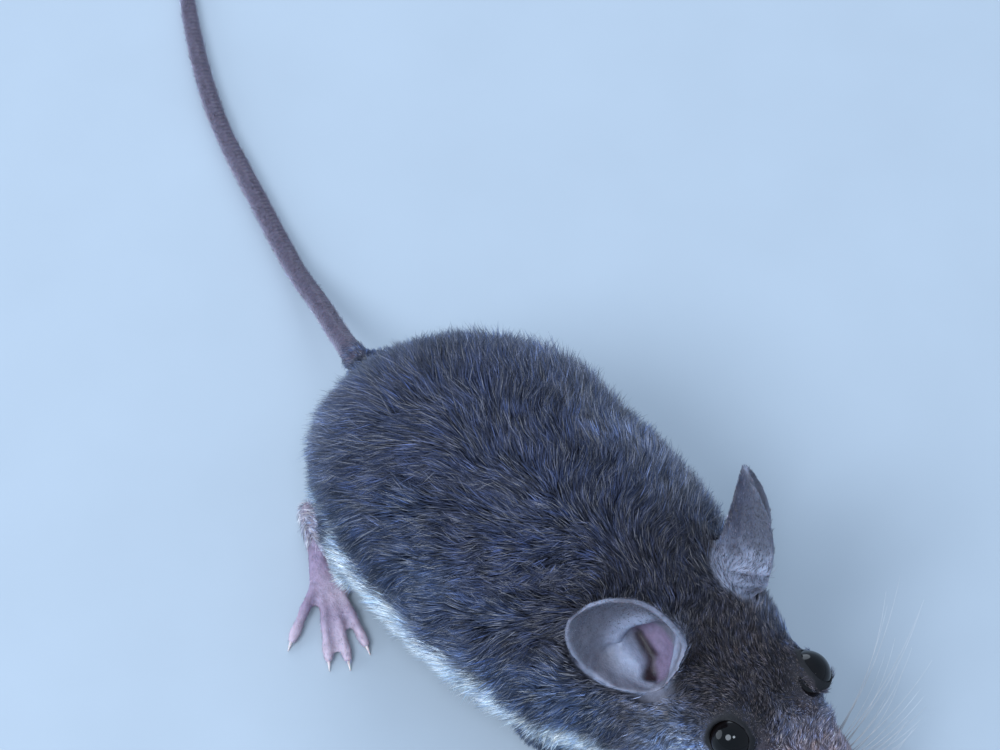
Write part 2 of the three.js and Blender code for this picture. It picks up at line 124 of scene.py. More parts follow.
def normals_of(vertices, triangles):
    """Unit normals of the vertices, weighted by the area of the triangles."""
    corners = vertices[triangles]
    face = np.cross(corners[:, 1] - corners[:, 0], corners[:, 2] - corners[:, 0])
    total = np.zeros_like(vertices)
    for axis in range(3):
        for corner in range(3):
            total[:, axis] += np.bincount(triangles[:, corner], face[:, axis], len(vertices))
    return total / np.maximum(np.linalg.norm(total, axis=1, keepdims=True), 1e-12)


class Neighbours:
    """Averages any values over each vertex's neighbours."""

    def __init__(self, triangles, count):
        ends = np.concatenate([triangles[:, [0, 1]], triangles[:, [1, 2]], triangles[:, [2, 0]]])
        both = np.concatenate([ends, ends[:, ::-1]])
        both = both[np.argsort(both[:, 0], kind="stable")]
        self.other = both[:, 1]
        self.number = np.bincount(both[:, 0], minlength=count)
        self.start = np.concatenate([[0], np.cumsum(self.number)[:-1]])

    def mean(self, values):
        total = np.add.reduceat(values[self.other], self.start, axis=0)
        number = self.number if values.ndim == 1 else self.number[:, None]
        return total / number

    def smooth(self, values, times, share=0.5):
        for _ in range(times):
            values = values + share * (self.mean(values) - values)
        return values

    def fair(self, vertices, times, strength=1.0):
        """Smooths a surface and keeps its volume: each pass shrinks it, then swells it back."""
        for _ in range(times):
            for share in (0.5, -0.52):
                vertices = vertices + share * strength * (self.mean(vertices) - vertices)
        return vertices


def grown_copy(node, growth):
    """Vertices and triangles of a CAD node, grown outwards."""
    shape = bmesh.new()
    shape.from_mesh(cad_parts[node].data)
    bmesh.ops.remove_doubles(shape, verts=shape.verts, dist=1e-6)
    bmesh.ops.recalc_face_normals(shape, faces=shape.faces)
    bmesh.ops.triangulate(shape, faces=shape.faces)
    shape.normal_update()
    vertices = np.array([v.co + v.normal * growth * MM for v in shape.verts]) / MM
    triangles = np.array([[v.index for v in face.verts] for face in shape.faces])
    shape.free()
    return vertices, triangles


def taken_from(shape):
    """Vertices and triangles of a bmesh, which is then freed."""
    vertices = np.array([v.co for v in shape.verts])
    triangles = np.array([[v.index for v in face.verts] for face in shape.faces])
    shape.free()
    return vertices, triangles


def unit_ball(subdivisions):
    shape = bmesh.new()
    bmesh.ops.create_icosphere(shape, subdivisions=subdivisions, radius=1)
    return taken_from(shape)


def joined(shapes):
    """One pair of vertices and faces from several."""
    starts = np.cumsum([0] + [len(vertices) for vertices, _ in shapes[:-1]])
    vertices = np.concatenate([vertices for vertices, _ in shapes])
    faces = np.concatenate([faces + start for (_, faces), start in zip(shapes, starts)])
    return vertices, faces


def with_modifier(piece, kind, **settings):
    """Applies one modifier to a piece and returns its new mesh."""
    modifier = piece.modifiers.new(kind, kind)
    for word, value in settings.items():
        setattr(modifier, word, value)
    graph = bpy.context.evaluated_depsgraph_get()
    mesh = bpy.data.meshes.new_from_object(piece.evaluated_get(graph))
    piece.modifiers.clear()
    old = piece.data
    piece.data = mesh
    bpy.data.meshes.remove(old)
    return mesh


# ---------------------------------------------------------------- feet
BALL = unit_ball(2)

# Toes: root ahead of the heel, root to the inner side, turn to the inner side and length
HIND_FOOT = {
    "length": 10.9,
    "half_width": [(0, 1.0), (0.35, 1.2), (0.7, 1.55), (1, 2.0)],
    "height": [(0, 2.9), (0.3, 2.5), (0.7, 1.9), (1, 1.35)],
    "toes": [(6.8, 1.1, 13, 3.3), (10.1, 1.35, 14, 6.6), (10.6, 0.45, 3, 7.4),
             (10.3, -0.5, -5, 7.4), (9.1, -1.35, -30, 6.4)],
    "toe_radius": 0.58,
    "claw": 1.25,
}
FORE_FOOT = {
    "length": 4.3,
    "half_width": [(0, 1.0), (0.5, 1.3), (1, 1.6)],
    "height": [(0, 2.4), (0.5, 1.8), (1, 1.25)],
    "toes": [(3.4, 1.2, 28, 3.4), (3.9, 0.45, 9, 4.1), (3.9, -0.4, -8, 4.1), (3.4, -1.2, -27, 3.5)],
    "toe_radius": 0.49,
    "claw": 1.0,
}
# Where each foot stands: heel or wrist in the layout, and turn
FEET = {
    ("hind", "right"): (7.7, -14.6, -34), ("hind", "left"): (10.7, 9.5, 12),
    ("fore", "right"): (52.6, -12.8, -10), ("fore", "left"): (55.2, 2.4, 8),
}
TOE_LINE = [(-0.2, 1.1), (0.12, 1.25), (0.42, 1.55), (0.72, 1.15), (1, 0.95)]  # share, lift in radii
TOE_SWELL = [(0, 1.1), (0.25, 0.95), (0.42, 1.08), (0.62, 0.88), (0.86, 1.08), (1, 0.8)]


def curve_at(pairs, where):
    xs, ys = zip(*pairs)
    return np.interp(where, xs, ys)


def smooth_curve_at(pairs, where):
    """Smooth values of a list of pairs, with no overshoot between the pairs."""
    xs, ys = np.array(pairs, dtype=float).T
    slopes = np.diff(ys) / np.diff(xs)
    product = slopes[:-1] * slopes[1:]
    total = np.where(product > 0, slopes[:-1] + slopes[1:], 1)
    middle = np.where(product > 0, 2 * product / total, 0)
    bends = np.concatenate([slopes[:1], middle, slopes[-1:]])
    where = np.clip(where, xs[0], xs[-1])
    i = np.clip(np.searchsorted(xs, where, side="right") - 1, 0, len(xs) - 2)
    span = xs[i + 1] - xs[i]
    u = (where - xs[i]) / span
    start = ys[i] * (1 + 2 * u) * (1 - u) ** 2 + span * bends[i] * u * (1 - u) ** 2
    return start + ys[i + 1] * (3 - 2 * u) * u ** 2 - span * bends[i + 1] * (1 - u) * u ** 2


def placed(points, foot):
    """Points of a foot's own layout, in the frame."""
    ahead, out, turn = FEET[foot]
    mirror = -SIDES[foot[1]]
    angle = math.radians(turn)
    x, y, z = np.asarray(points, dtype=float).T
    y = y * mirror
    return np.stack([
        ahead + x * math.cos(angle) - y * math.sin(angle),
        out + x * math.sin(angle) + y * math.cos(angle),
        z,
    ], axis=1) + SHIFT


def toe_points(form, toe, count):
    """Points along a toe, bending over its knuckle."""
    root, inner, turn, length = toe
    share = np.linspace(-0.2, 1, count)
    angle = math.radians(turn)
    lift = curve_at(TOE_LINE, share) * form["toe_radius"]
    return np.stack([
        root + math.cos(angle) * length * share,
        inner + math.sin(angle) * length * share,
        lift,
    ], axis=1), share


def ball_at(centre, radii):
    vertices, triangles = BALL
    return vertices * radii + centre, triangles


def foot_shapes(foot):
    """Balls that merge into a foot: heel to toe roots, toes with knuckles and pads."""
    form = HIND_FOOT if foot[0] == "hind" else FORE_FOOT
    shapes = []
    for t in np.linspace(0, 1, int(form["length"] / 0.5)):
        half_width = curve_at(form["half_width"], t)
        height = curve_at(form["height"], t)
        centre = placed([[t * (form["length"] - 1.2), 0, height / 2 - 0.05]], foot)[0]
        across = max(half_width, height / 2)
        shapes.append(ball_at(centre, np.array([across, across, height / 2]) + GROWTH))
    for toe in form["toes"]:
        points, share = toe_points(form, toe, int(toe[3] / 0.22))
        swell = curve_at(TOE_SWELL, share) * form["toe_radius"]
        for point, radius in zip(placed(points, foot), swell):
            shapes.append(ball_at(point, radius + GROWTH))
    return shapes


# ---------------------------------------------------------------- small tools
def smoothstep(low, high, value):
    t = np.clip((np.asarray(value, dtype=float) - low) / (high - low), 0, 1)
    return t * t * (3 - 2 * t)


def away_from(points, place):
    return np.linalg.norm(points - place, axis=1)


def unit(vectors):
    return vectors / np.maximum(np.linalg.norm(vectors, axis=1, keepdims=True), 1e-9)


def direction(vector):
    """One vector at length 1."""
    return np.asarray(vector, dtype=float) / np.linalg.norm(vector)


def tangent(vectors, normals):
    return vectors - normals * np.sum(vectors * normals, axis=1, keepdims=True)


def mix(first, second, share):
    """Colours between two, with one share for each row."""
    return np.asarray(first) + (np.asarray(second) - np.asarray(first)) * share[:, None]


# ---------------------------------------------------------------- ears and tail lines
# Each ear's wrap is half its arc in degrees, at shares of its length
EAR = {
    "left": {
        "base": (54.13, 1.94, 20.48), "tip": (-0.44, 0.477, 0.761), "facing": (0.722, 0.691, -0.016),
        "length": 13.6, "bulge": 3.0, "blunt": 1.72, "wrap": [(0, 140), (0.25, 98), (0.5, 92), (1, 105)],
    },
    "right": {
        "base": (55.6, -11.65, 21.06), "tip": (-0.48, -0.196, 0.854), "facing": (0.632, -0.753, 0.183),
        "length": 12.4, "bulge": 0.35, "blunt": 2.5, "wrap": [(0, 140), (0.25, 93), (0.5, 67), (1, 45)],
    },
}
EAR_LENGTH = 13.0  # for distances drawn on the ears
EAR_WIDTH = [(0, 4.0), (0.25, 8.3), (0.5, 7.3), (1, 5.6)]  # half the leaf, round its curve
EAR_CLOSING = 0.45  # share of the length from which the leaf narrows to its tip
INNER_FACE = 0.3  # the inner side's normals lean outwards by less than this

TAIL_LINE = np.array([
    [0.9, -1.2, 9.2], [-4.9, 1.0, 6.2], [-10.1, 3.2, 3.9], [-15.6, 5.0, 2.1], [-20.4, 6.8, 1.2],
    [-26.4, 9.0, 1.04], [-39.4, 14.0, 0.94], [-53.6, 22.6, 0.8], [-62.5, 30.2, 0.6],
    [-69.0, 37.6, 0.36],
]) + SHIFT
TAIL_ROOT = TAIL_LINE[0]
TAIL_BED = np.array([7.0, -2.2, 13.2]) + SHIFT  # where the tail's muscle starts, inside the rump
TAIL_MUSCLE = (1.35, 3.25)  # radius at the tail's root and at its bed


def ear_axes(side):
    """Base of an ear, and its directions to the tip, to the open side and across."""
    form = EAR[side]
    tip = direction(form["tip"])
    facing = direction(np.array(form["facing"]) - tip * np.dot(form["facing"], tip))
    return np.array(form["base"]) + SHIFT, tip, facing, np.cross(tip, facing)


def round_ear(points, along, side, closing=1.0):
    """Places from the middle of an ear's curl, to the side and out, and its radius and wrap there."""
    form = EAR[side]
    base, _, facing, across = ear_axes(side)
    offset = points - base
    curl = np.radians(smooth_curve_at(form["wrap"], along))
    wrap = curl * closing
    radius = smooth_curve_at(EAR_WIDTH, along) / curl
    rim = np.cos(np.minimum(wrap, math.pi / 2))
    bulge = form["bulge"] * np.sin(math.pi * np.clip(along, 0, 1))
    return offset @ across, radius * rim + bulge - offset @ facing, radius, wrap


def ear_place(points, normals, side):
    """Across (-1 to 1) and along (0 to 1) an ear, and whether a point is on its inner side."""
    base, tip, facing, across = ear_axes(side)
    blunt = EAR[side]["blunt"]
    along = np.clip((points - base) @ tip / EAR[side]["length"], 0, 0.995)
    beyond = np.maximum(0, along - EAR_CLOSING) / (1 - EAR_CLOSING)
    aside, out, _, wrap = round_ear(points, along, side, (1 - beyond ** blunt) ** (1 / blunt))
    angle = np.arctan2(aside, out)
    outwards = np.sin(angle)[:, None] * across - np.cos(angle)[:, None] * facing
    inner = np.sum(normals * outwards, axis=1) < INNER_FACE
    return np.clip(angle / np.maximum(wrap, 0.05), -1.2, 1.2), along, inner


def tail_place(points):
    """Nearest distance along the tail's line, and the direction of the tail there."""
    fine = np.concatenate([
        start + np.linspace(0, 1, 40, endpoint=False)[:, None] * (end - start)
        for start, end in zip(TAIL_LINE[:-1], TAIL_LINE[1:])
    ])
    steps = np.linalg.norm(np.diff(fine, axis=0), axis=1)
    reach = np.concatenate([[0], np.cumsum(steps)])
    nearest = np.array([np.argmin(np.sum((fine - point) ** 2, axis=1)) for point in points])
    nearest = np.minimum(nearest, len(fine) - 2)
    direction = unit(fine[nearest + 1] - fine[nearest])
    along = reach[nearest] + np.sum((points - fine[nearest]) * direction, axis=1)
    return along, direction


# ---------------------------------------------------------------- skin
BARE = ("tail", "ear", "nose", "hind_foot", "forefoot")
EAR_FAIRING = 0.08  # the furthest that smoothing moves the ears' thin edges
PASSES = {"depth": 80, "outline": 10, "under_coat": 110, "last": 3}  # of smoothing
LID_LEAN = math.radians(60)  # from the eye's axis to the edge of the lids
# Rows of a lid, from its edge back: further lean, place out from the eyeball, and radius
LID_ROWS = [(0.0, 0.05, 0.13), (0.2, 0.0, 0.19), (0.45, -0.3, 0.34), (0.75, -0.75, 0.45)]


def eye_axes(side):
    """Directions of an eye: out of the head, along the head and up."""
    outward = direction([0.2, SIDES[side] * 0.68, 0.7])
    along = direction(np.cross([0, 0, 1.0], outward))
    return outward, along, np.cross(outward, along)


def lid_shapes(side):
    """A ring of small balls round the eye, where the lids close on it."""
    centre, radius = EYE[side]["centre"], EYE[side]["radius"]
    outward, along, upward = eye_axes(side)
    shapes = []
    for angle in np.linspace(0, 2 * math.pi, 72, endpoint=False):
        spoke = math.cos(angle) * along + math.sin(angle) * upward
        for more_lean, out, thickness in LID_ROWS:
            lean = LID_LEAN - 0.1 * math.sin(angle) ** 2 + more_lean
            direction = math.cos(lean) * outward + math.sin(lean) * spoke
            place = centre + direction * (radius + out)
            shapes.append(ball_at(place, thickness + GROWTH))
    return shapes


def fused_skin():
    """The whole animal as one closed surface, still out at the coat's outline."""
    shapes = [grown_copy(node, GROWTH) for node in FLESH if "foot" not in node]
    for foot in FEET:
        shapes += foot_shapes(foot)
    for side in SIDES:
        shapes += lid_shapes(side)
    for t in np.linspace(0, 1, 16):
        radius = TAIL_MUSCLE[0] + (TAIL_MUSCLE[1] - TAIL_MUSCLE[0]) * t
        shapes.append(ball_at(TAIL_ROOT + t * (TAIL_BED - TAIL_ROOT), radius + GROWTH))
    skin = make_object("skin", *joined(shapes))
    with_modifier(skin, "REMESH", mode="VOXEL", voxel_size=VOXEL * MM, use_smooth_shade=True)
    return skin


def nearest_nodes(vertices):
    """Number in FLESH of the CAD node nearest to each vertex."""
    shapes = [grown_copy(node, 0) for node in FLESH]
    owner = np.concatenate([[i] * len(faces) for i, (_, faces) in enumerate(shapes)])
    points, faces = joined(shapes)
    tree = BVHTree.FromPolygons(points.tolist(), faces.tolist())
    found = [tree.find_nearest(Vector(v))[2] for v in vertices]
    return owner[found]


def in_bowl(vertices, side):
    """Whether each point is on the floor of an ear's bowl."""
    base, tip = ear_axes(side)[:2]
    along = (vertices - base) @ tip / EAR[side]["length"]
    aside, out, radius, curl = round_ear(vertices, along, side)
    within = (np.hypot(aside, out) < radius + 0.2) & (np.abs(np.arctan2(aside, out)) < curl)
    return within & (along > -0.15) & (along < 0.6)


def skin_depth(vertices):
    """How far each point lies under the coat's outline."""
    depth = np.array([DEPTH[part] for part in part_of])
    depth = around.smooth(depth, PASSES["depth"])
    depth *= 0.3 + 0.7 * smoothstep(1.0, 6.0, away_from(vertices, TAIL_ROOT))
    for side in SIDES:
        depth *= smoothstep(2.9, 5.5, away_from(vertices, EYE[side]["centre"]))
    depth[np.isin(part_of, BARE)] = 0
    return around.smooth(depth, 6)


def held(vertices, faired):
    """A faired surface, but with the ears' thin edges held close to where they were."""
    move = faired - vertices
    far = np.linalg.norm(move, axis=1)
    most = np.where(part_of == "ear", EAR_FAIRING, 9.0)
    return vertices + move * (np.minimum(far, most) / np.maximum(far, 1e-9))[:, None]


def sunk_skin(vertices):
    """Takes the surface from the coat's outline down to the skin, and fairs it under the coat."""
    vertices = held(vertices, around.fair(vertices, PASSES["outline"]))
    vertices = vertices - normals_of(vertices, T) * (GROWTH + depth)[:, None]
    softness = np.clip(depth / 1.6, 0, 1)[:, None]
    for _ in range(PASSES["under_coat"]):
        vertices = vertices + 0.6 * softness * (around.mean(vertices) - vertices)
    return around.fair(vertices, PASSES["last"])


# Face: mouth line, nostrils and the groove under the nose, from the nose's tip
MOUTH = {"at": (61.5, 7.7), "slope": -6, "from": (64.5, 66.5), "to": (72.6, 73.6), "depth": 0.42,
         "width": 0.24}
NOSE_TIP = np.array([75.0, -2.1, 9.0]) + SHIFT
NOSTRIL = {"back": 0.55, "aside": 0.95, "up": 0.1, "depth": 0.55, "width": 0.36}
GROOVE = {"depth": 0.3, "width": 0.2}
PAD = {"back": 4.2, "aside": 2.6, "down": 0.4, "height": 0.3, "width": 1.6}


def bell(distance, width):
    return np.exp(-(distance / width) ** 2)


def face_moves(vertices):
    """Height to add along the normals round the mouth and nose."""
    x = vertices[:, 0] - SHIFT[0]
    line = MOUTH["at"][1] + (x - MOUTH["at"][0]) * math.tan(math.radians(MOUTH["slope"]))
    inside = smoothstep(*MOUTH["from"], x) * (1 - smoothstep(*MOUTH["to"], x))
    on_face = np.isin(part_of, ("muzzle", "lower_jaw", "nose", "head"))
    move = -MOUTH["depth"] * inside * bell(vertices[:, 2] - line, MOUTH["width"]) * on_face
    offset = vertices - NOSE_TIP
    for sign in SIDES.values():
        place = (-NOSTRIL["back"], sign * NOSTRIL["aside"], NOSTRIL["up"])
        move -= NOSTRIL["depth"] * bell(away_from(offset, place), NOSTRIL["width"])
        place = (-PAD["back"], sign * PAD["aside"], -PAD["down"])
        move += PAD["height"] * bell(away_from(offset, place), PAD["width"])
    below = (offset[:, 2] < 0.3) & (offset[:, 2] > -2.6) & (offset[:, 0] > -2.5)
    return move - GROOVE["depth"] * bell(offset[:, 1], GROOVE["width"]) * below * on_face


# Folds of the ears' inner sides, as lines of (across, along)
RIDGES = [
    ([(0.3, 0.5), (-0.1, 0.45), (-0.38, 0.32), (-0.42, 0.2), (-0.3, 0.12), (-0.34, 0.03)], 0.75, 1.0),
    ([(0.8, 0.36), (0.72, 0.24), (0.72, 0.1)], 0.35, 0.55),
    ([(-1.0, 0.3), (-0.9, 0.7), (-0.5, 0.96), (0.5, 0.96), (0.9, 0.7), (1.0, 0.3)], 0.1, 0.5),
]
SLIT = ([(-0.1, 0.22), (-0.06, 0.14), (0.0, 0.07), (-0.1, 0.02), (-0.4, 0.0)], 0.55, 0.6)
BOWL = ([(0.0, 0.25), (0.2, 0.17), (0.4, 0.12), (0.1, 0.04)], 0.25, 1.3)


def away_from_line(across, along, line):
    """Distance in millimetres from a line drawn on an ear."""
    place = np.stack([across * curve_at(EAR_WIDTH, along), along * EAR_LENGTH], axis=1)
    corners = np.array(line)
    corners[:, 0] *= curve_at(EAR_WIDTH, corners[:, 1])
    corners[:, 1] *= EAR_LENGTH
    nearest = np.full(len(place), 1e9)
    for start, end in zip(corners[:-1], corners[1:]):
        span = end - start
        share = np.clip((place - start) @ span / (span @ span), 0, 1)
        nearest = np.minimum(nearest, away_from(place, start + share[:, None] * span))
    return nearest


def ear_moves(vertices, normals):
    """Height to add along the normals on the ears' inner sides."""
    move = np.zeros(len(vertices))
    for side in SIDES:
        here = np.nonzero(node_of == FLESH.index(f"ear_{side}"))[0]
        across, along, inner = ear_place(vertices[here], normals[here], side)
        height = np.zeros(len(here))
        for line, rise, width in RIDGES:
            height += rise * bell(away_from_line(across, along, line), width)
        for line, fall, width in (SLIT, BOWL):
            height -= fall * bell(away_from_line(across, along, line), width)
        move[here] = height * inner
    return move


skin = fused_skin()
V = vertices_of(skin.data)
T = triangles_of(skin.data)
around = Neighbours(T, len(V))
node_of = nearest_nodes(V)
for side in SIDES:
    node_of[in_bowl(V, side)] = FLESH.index(f"ear_{side}")
part_of = np.array([part_word(node) for node in FLESH])[node_of]
depth = skin_depth(V)
V = sunk_skin(V)
N = normals_of(V, T)
moves = around.smooth(face_moves(V) + ear_moves(V, N), 2)
V = V + N * moves[:, None]
V[:, 2] = np.maximum(V[:, 2], 0.0)
N = normals_of(V, T)


# ---------------------------------------------------------------- where things are on the body
BODY = ("trunk", "neck", "head", "muzzle", "nose", "lower_jaw")


def body_rows():
    """Middle, half width, top and bottom of the body at each x, from the skin."""
    chosen = V[np.isin(part_of, BODY)]
    xs = np.arange(chosen[:, 0].min() + 1, chosen[:, 0].max() - 0.6, 2.0)
    rows = []
    for x in xs:
        slab = chosen[np.abs(chosen[:, 0] - x) < 2]
        low, high = slab.min(axis=0), slab.max(axis=0)
        rows.append(((low[1] + high[1]) / 2, (high[1] - low[1]) / 2, high[2], low[2]))
    rows = np.array(rows)
    kernel = np.array([1, 2, 3, 2, 1]) / 9
    for column in range(rows.shape[1]):
        padded = np.pad(rows[:, column], 2, mode="edge")
        rows[:, column] = np.convolve(padded, kernel, mode="valid")
    return xs, rows


ROW_X, ROWS = body_rows()


AHEAD = V[:, 0] - SHIFT[0]  # x of each vertex in the animal's own layout


def middle_at(x):
    return np.interp(x, ROW_X, ROWS[:, 0])


def place_on_body(points):
    """Share of the way out to the side and up from the belly."""
    x = points[:, 0]
    aside = (points[:, 1] - middle_at(x)) / np.interp(x, ROW_X, ROWS[:, 1])
    low = np.interp(x, ROW_X, ROWS[:, 3])
    height = (points[:, 2] - low) / (np.interp(x, ROW_X, ROWS[:, 2]) - low)
    return aside, height


def wander(seed, times):
    """A smooth random field over the skin, from about -2 to 2."""
    values = np.random.default_rng(seed).normal(size=len(V))
    values = around.smooth(values, times, 0.9)
    return (values - values.mean()) / values.std()


# ---------------------------------------------------------------- lie and length of the coat
def body_lie():
    """On the body the hair runs back from the nose, and outwards and down from the back's middle."""
    x = V[:, 0]
    slope = (middle_at(x + 1.5) - middle_at(x - 1.5)) / 3
    back = unit(np.stack([-np.ones_like(x), -slope, np.zeros_like(x)], axis=1))
    aside, height = place_on_body(V)
    round_body = unit(np.cross(N, back))
    round_body *= np.where(round_body[:, 2] > 0, -1, 1)[:, None]
    spread = smoothstep(0.02, 0.3, np.abs(aside)) * smoothstep(0.05, 0.5, height)
    spread *= 0.75 - 0.4 * smoothstep(45, 55, x)
    return back + round_body * spread[:, None]


# Ahead, out to the side and up; the feet and tail lie along themselves
LIMB_LIE = {
    "thigh": (-0.8, 0.15, -0.6), "shank": (-1.0, 0, -0.45),
    "upper_arm": (-0.35, 0.1, -0.9), "forearm": (0.75, 0, -0.65),
}


def lie_of_coat():
    lie = body_lie()
    for i, node in enumerate(FLESH):
        here = node_of == i
        part = part_word(node)
        sign = SIDES["left"] if node.endswith("left") else SIDES["right"]
        if part in LIMB_LIE:
            ahead, out, up = LIMB_LIE[part]
            lie[here] = (ahead, out * sign, up)
        elif part in ("hind_foot", "forefoot"):
            turn = math.radians(FEET[(part[:4], node.rsplit("_", 1)[1])][2])
            lie[here] = (math.cos(turn), math.sin(turn), -0.1)
        elif part == "tail":
            lie[here] = tail_place(V[here])[1]
    for side in SIDES:
        here = node_of == FLESH.index(f"ear_{side}")
        base, tip = ear_axes(side)[:2]
        lie[here] = unit(V[here] - base) + 0.5 * tip
    lie = unit(tangent(lie, N))
    lie = around.smooth(lie, 40)
    for side in SIDES:
        centre = EYE[side]["centre"]
        reach = 1 - smoothstep(2.6, 6.5, away_from(V, centre))
        away = unit(tangent(V - centre, N))
        inwards = np.minimum(np.sum(lie * away, axis=1), 0)
        lie = lie - (reach * inwards)[:, None] * away + 0.12 * reach[:, None] * away
    return unit(tangent(lie, N))


# Length of the hairs in millimetres, and below how many stand on a square millimetre
LENGTH = {
    "trunk": 3.4, "neck": 3.1, "head": 1.6, "muzzle": 0.8, "lower_jaw": 0.9, "nose": 0.3,
    "thigh": 3.0, "shank": 2.0, "upper_arm": 2.6, "forearm": 1.2,
    "hind_foot": 0.6, "forefoot": 0.5, "ear": 0.5, "tail": 0.8,
}
DENSITY = {
    "trunk": 40.0, "neck": 44.0, "head": 64.0, "muzzle": 70.0, "lower_jaw": 44.0, "nose": 0.0,
    "thigh": 40.0, "shank": 40.0, "upper_arm": 40.0, "forearm": 28.0,
    "hind_foot": 5.0, "forefoot": 5.0, "ear": 14.0, "tail": 7.0,
}


def field(table, times):
    return around.smooth(np.array([table[part] for part in part_of]), times)


def on_lid(side):
    """1 on the bare edges of the eyelids, 0 on the furred skin round them."""
    offset = V - EYE[side]["centre"]
    away = np.linalg.norm(offset, axis=1)
    lean = np.degrees(np.arccos(np.clip(offset @ eye_axes(side)[0] / away, -1, 1)))
    edge = 62 + 20 * smoothstep(0.6, 0.95, offset[:, 0] / away)  # wider at the front corner
    return (1 - smoothstep(2.9, 3.15, away)) * (1 - smoothstep(edge, edge + 8, lean))


lie = lie_of_coat()
length = field(LENGTH, 60)
density = field(DENSITY, 12)
length *= 0.3 + 0.7 * smoothstep(2.0, 9, away_from(V, TAIL_ROOT))
on_tail = part_of == "tail"
near_rump = np.where(on_tail, 1 - smoothstep(0.5, 4.5, away_from(V, TAIL_ROOT)), 0.0)
length += 0.9 * near_rump
density += 26 * near_rump
for side in SIDES:
    density *= 1 - on_lid(side)
    density *= np.where(part_of == "head", smoothstep(2.2, 2.8, away_from(V, ear_axes(side)[0])), 1)
    length *= 0.16 + 0.84 * smoothstep(2.6, 5.2, away_from(V, EYE[side]["centre"]))
    on_ear = np.nonzero(node_of == FLESH.index(f"ear_{side}"))[0]
    across, along, inner = ear_place(V[on_ear], N[on_ear], side)
    density[on_ear] = np.where(inner, 9 * smoothstep(0.35, 0.6, along), 14)
    length[on_ear] = np.where(inner, 0.4, 0.5 + 1.3 * (1 - smoothstep(0.1, 0.5, along)))
aside, height = place_on_body(V)
on_body = np.isin(part_of, BODY)
# The ankle is thinly haired, and short hairs run on over the heel
HEEL = (0.6, 0, 2.6)
ankle = 1 - smoothstep(15.5, 18.5, AHEAD)
ankle *= (part_of == "shank") & (V[:, 2] < 7.5)
density *= 1 - 0.4 * ankle
length *= 1 - 0.45 * ankle
heel = np.zeros(len(V))
for foot in FEET:
    if foot[0] == "hind":
        heel = np.maximum(heel, 1 - smoothstep(1.6, 4.6, away_from(V, placed([HEEL], foot)[0])))
heel *= part_of == "hind_foot"
density += 34 * heel
length += 0.8 * heel
density *= np.where(on_body, 0.6 + 0.4 * smoothstep(0.02, 0.2, height), 1)


# ---------------------------------------------------------------- markings, with painted light and shade
# Each coat colour: next to the skin, along the hair, and the lightest tips, which are pale hair bands
# brightened with painted sheen
BACK = ((0.016, 0.017, 0.028), (0.044, 0.053, 0.100), (0.38, 0.36, 0.37))
FLANK = ((0.022, 0.027, 0.045), (0.059, 0.085, 0.158), (0.60, 0.60, 0.63))
BELLY = ((0.36, 0.42, 0.49), (0.68, 0.78, 0.89), (0.86, 0.90, 0.94))
PAINTED_LIGHT_COAT = ((0.070, 0.076, 0.110), (0.27, 0.31, 0.44), (0.66, 0.66, 0.70))  # painted light: a lighter coat where light falls on the far side and on the near side of the rump
# the nape's own darker coat, deepened with painted shade behind the ears
NAPE_AND_SHADE = ((0.012, 0.011, 0.016), (0.030, 0.029, 0.043), (0.32, 0.28, 0.27))
CROWN = ((0.018, 0.015, 0.018), (0.051, 0.045, 0.058), (0.30, 0.25, 0.23))
CHEEK = ((0.12, 0.13, 0.19), (0.36, 0.46, 0.70), (0.60, 0.64, 0.74))
SNOUT = ((0.20, 0.14, 0.16), (0.37, 0.31, 0.36), (0.54, 0.48, 0.50))
LEG = ((0.26, 0.21, 0.26), (0.52, 0.50, 0.58), (0.70, 0.70, 0.76))
FOOT = ((0.23, 0.165, 0.245), (0.32, 0.28, 0.38), (0.50, 0.48, 0.58))
EAR_BASE = ((0.36, 0.35, 0.43), (0.42, 0.43, 0.53), (0.62, 0.64, 0.74))
EAR_HAIR = ((0.056, 0.053, 0.074), (0.098, 0.095, 0.12), (0.34, 0.33, 0.38))
TAIL_TOP = ((0.068, 0.052, 0.080), (0.036, 0.031, 0.044), (0.13, 0.11, 0.14))
TAIL_UNDER = ((0.38, 0.33, 0.42), (0.36, 0.33, 0.40), (0.5, 0.47, 0.53))
# Height of the white belly's edge along the body, as a share of the body's
PALE_BAND = [(0, 0.4), (20, 0.46), (32, 0.5), (42, 0.5), (50, 0.4), (56, 0.26), (76, 0.34)]
# Where along the body a marking begins and is full; the nape's layer also holds painted shade behind the
# ears
NAPE_FROM, CROWN_FROM, CHEEK_FROM, SNOUT_FROM = (38, 50), (52, 57), (54, 62), (65, 71)
TOE_TIP = (0.46, 0.36, 0.42)
LID = (0.003, 0.002, 0.003)
EAR_BACK = (0.034, 0.036, 0.060)
EAR_INSIDE = (0.130, 0.125, 0.155)
# pale skin at the back of the ear's base, and the colour of the painted highlights on the ears' folds and
# rims
EAR_PALE_AND_HIGHLIGHT = (0.27, 0.285, 0.37)
CONCHA = (0.19, 0.14, 0.21)
# the ear's opening: its dark red-brown skin deepened with painted shade
MEATUS_AND_SHADE = (0.016, 0.006, 0.008)
NOSE_PINK = (0.30, 0.17, 0.18)


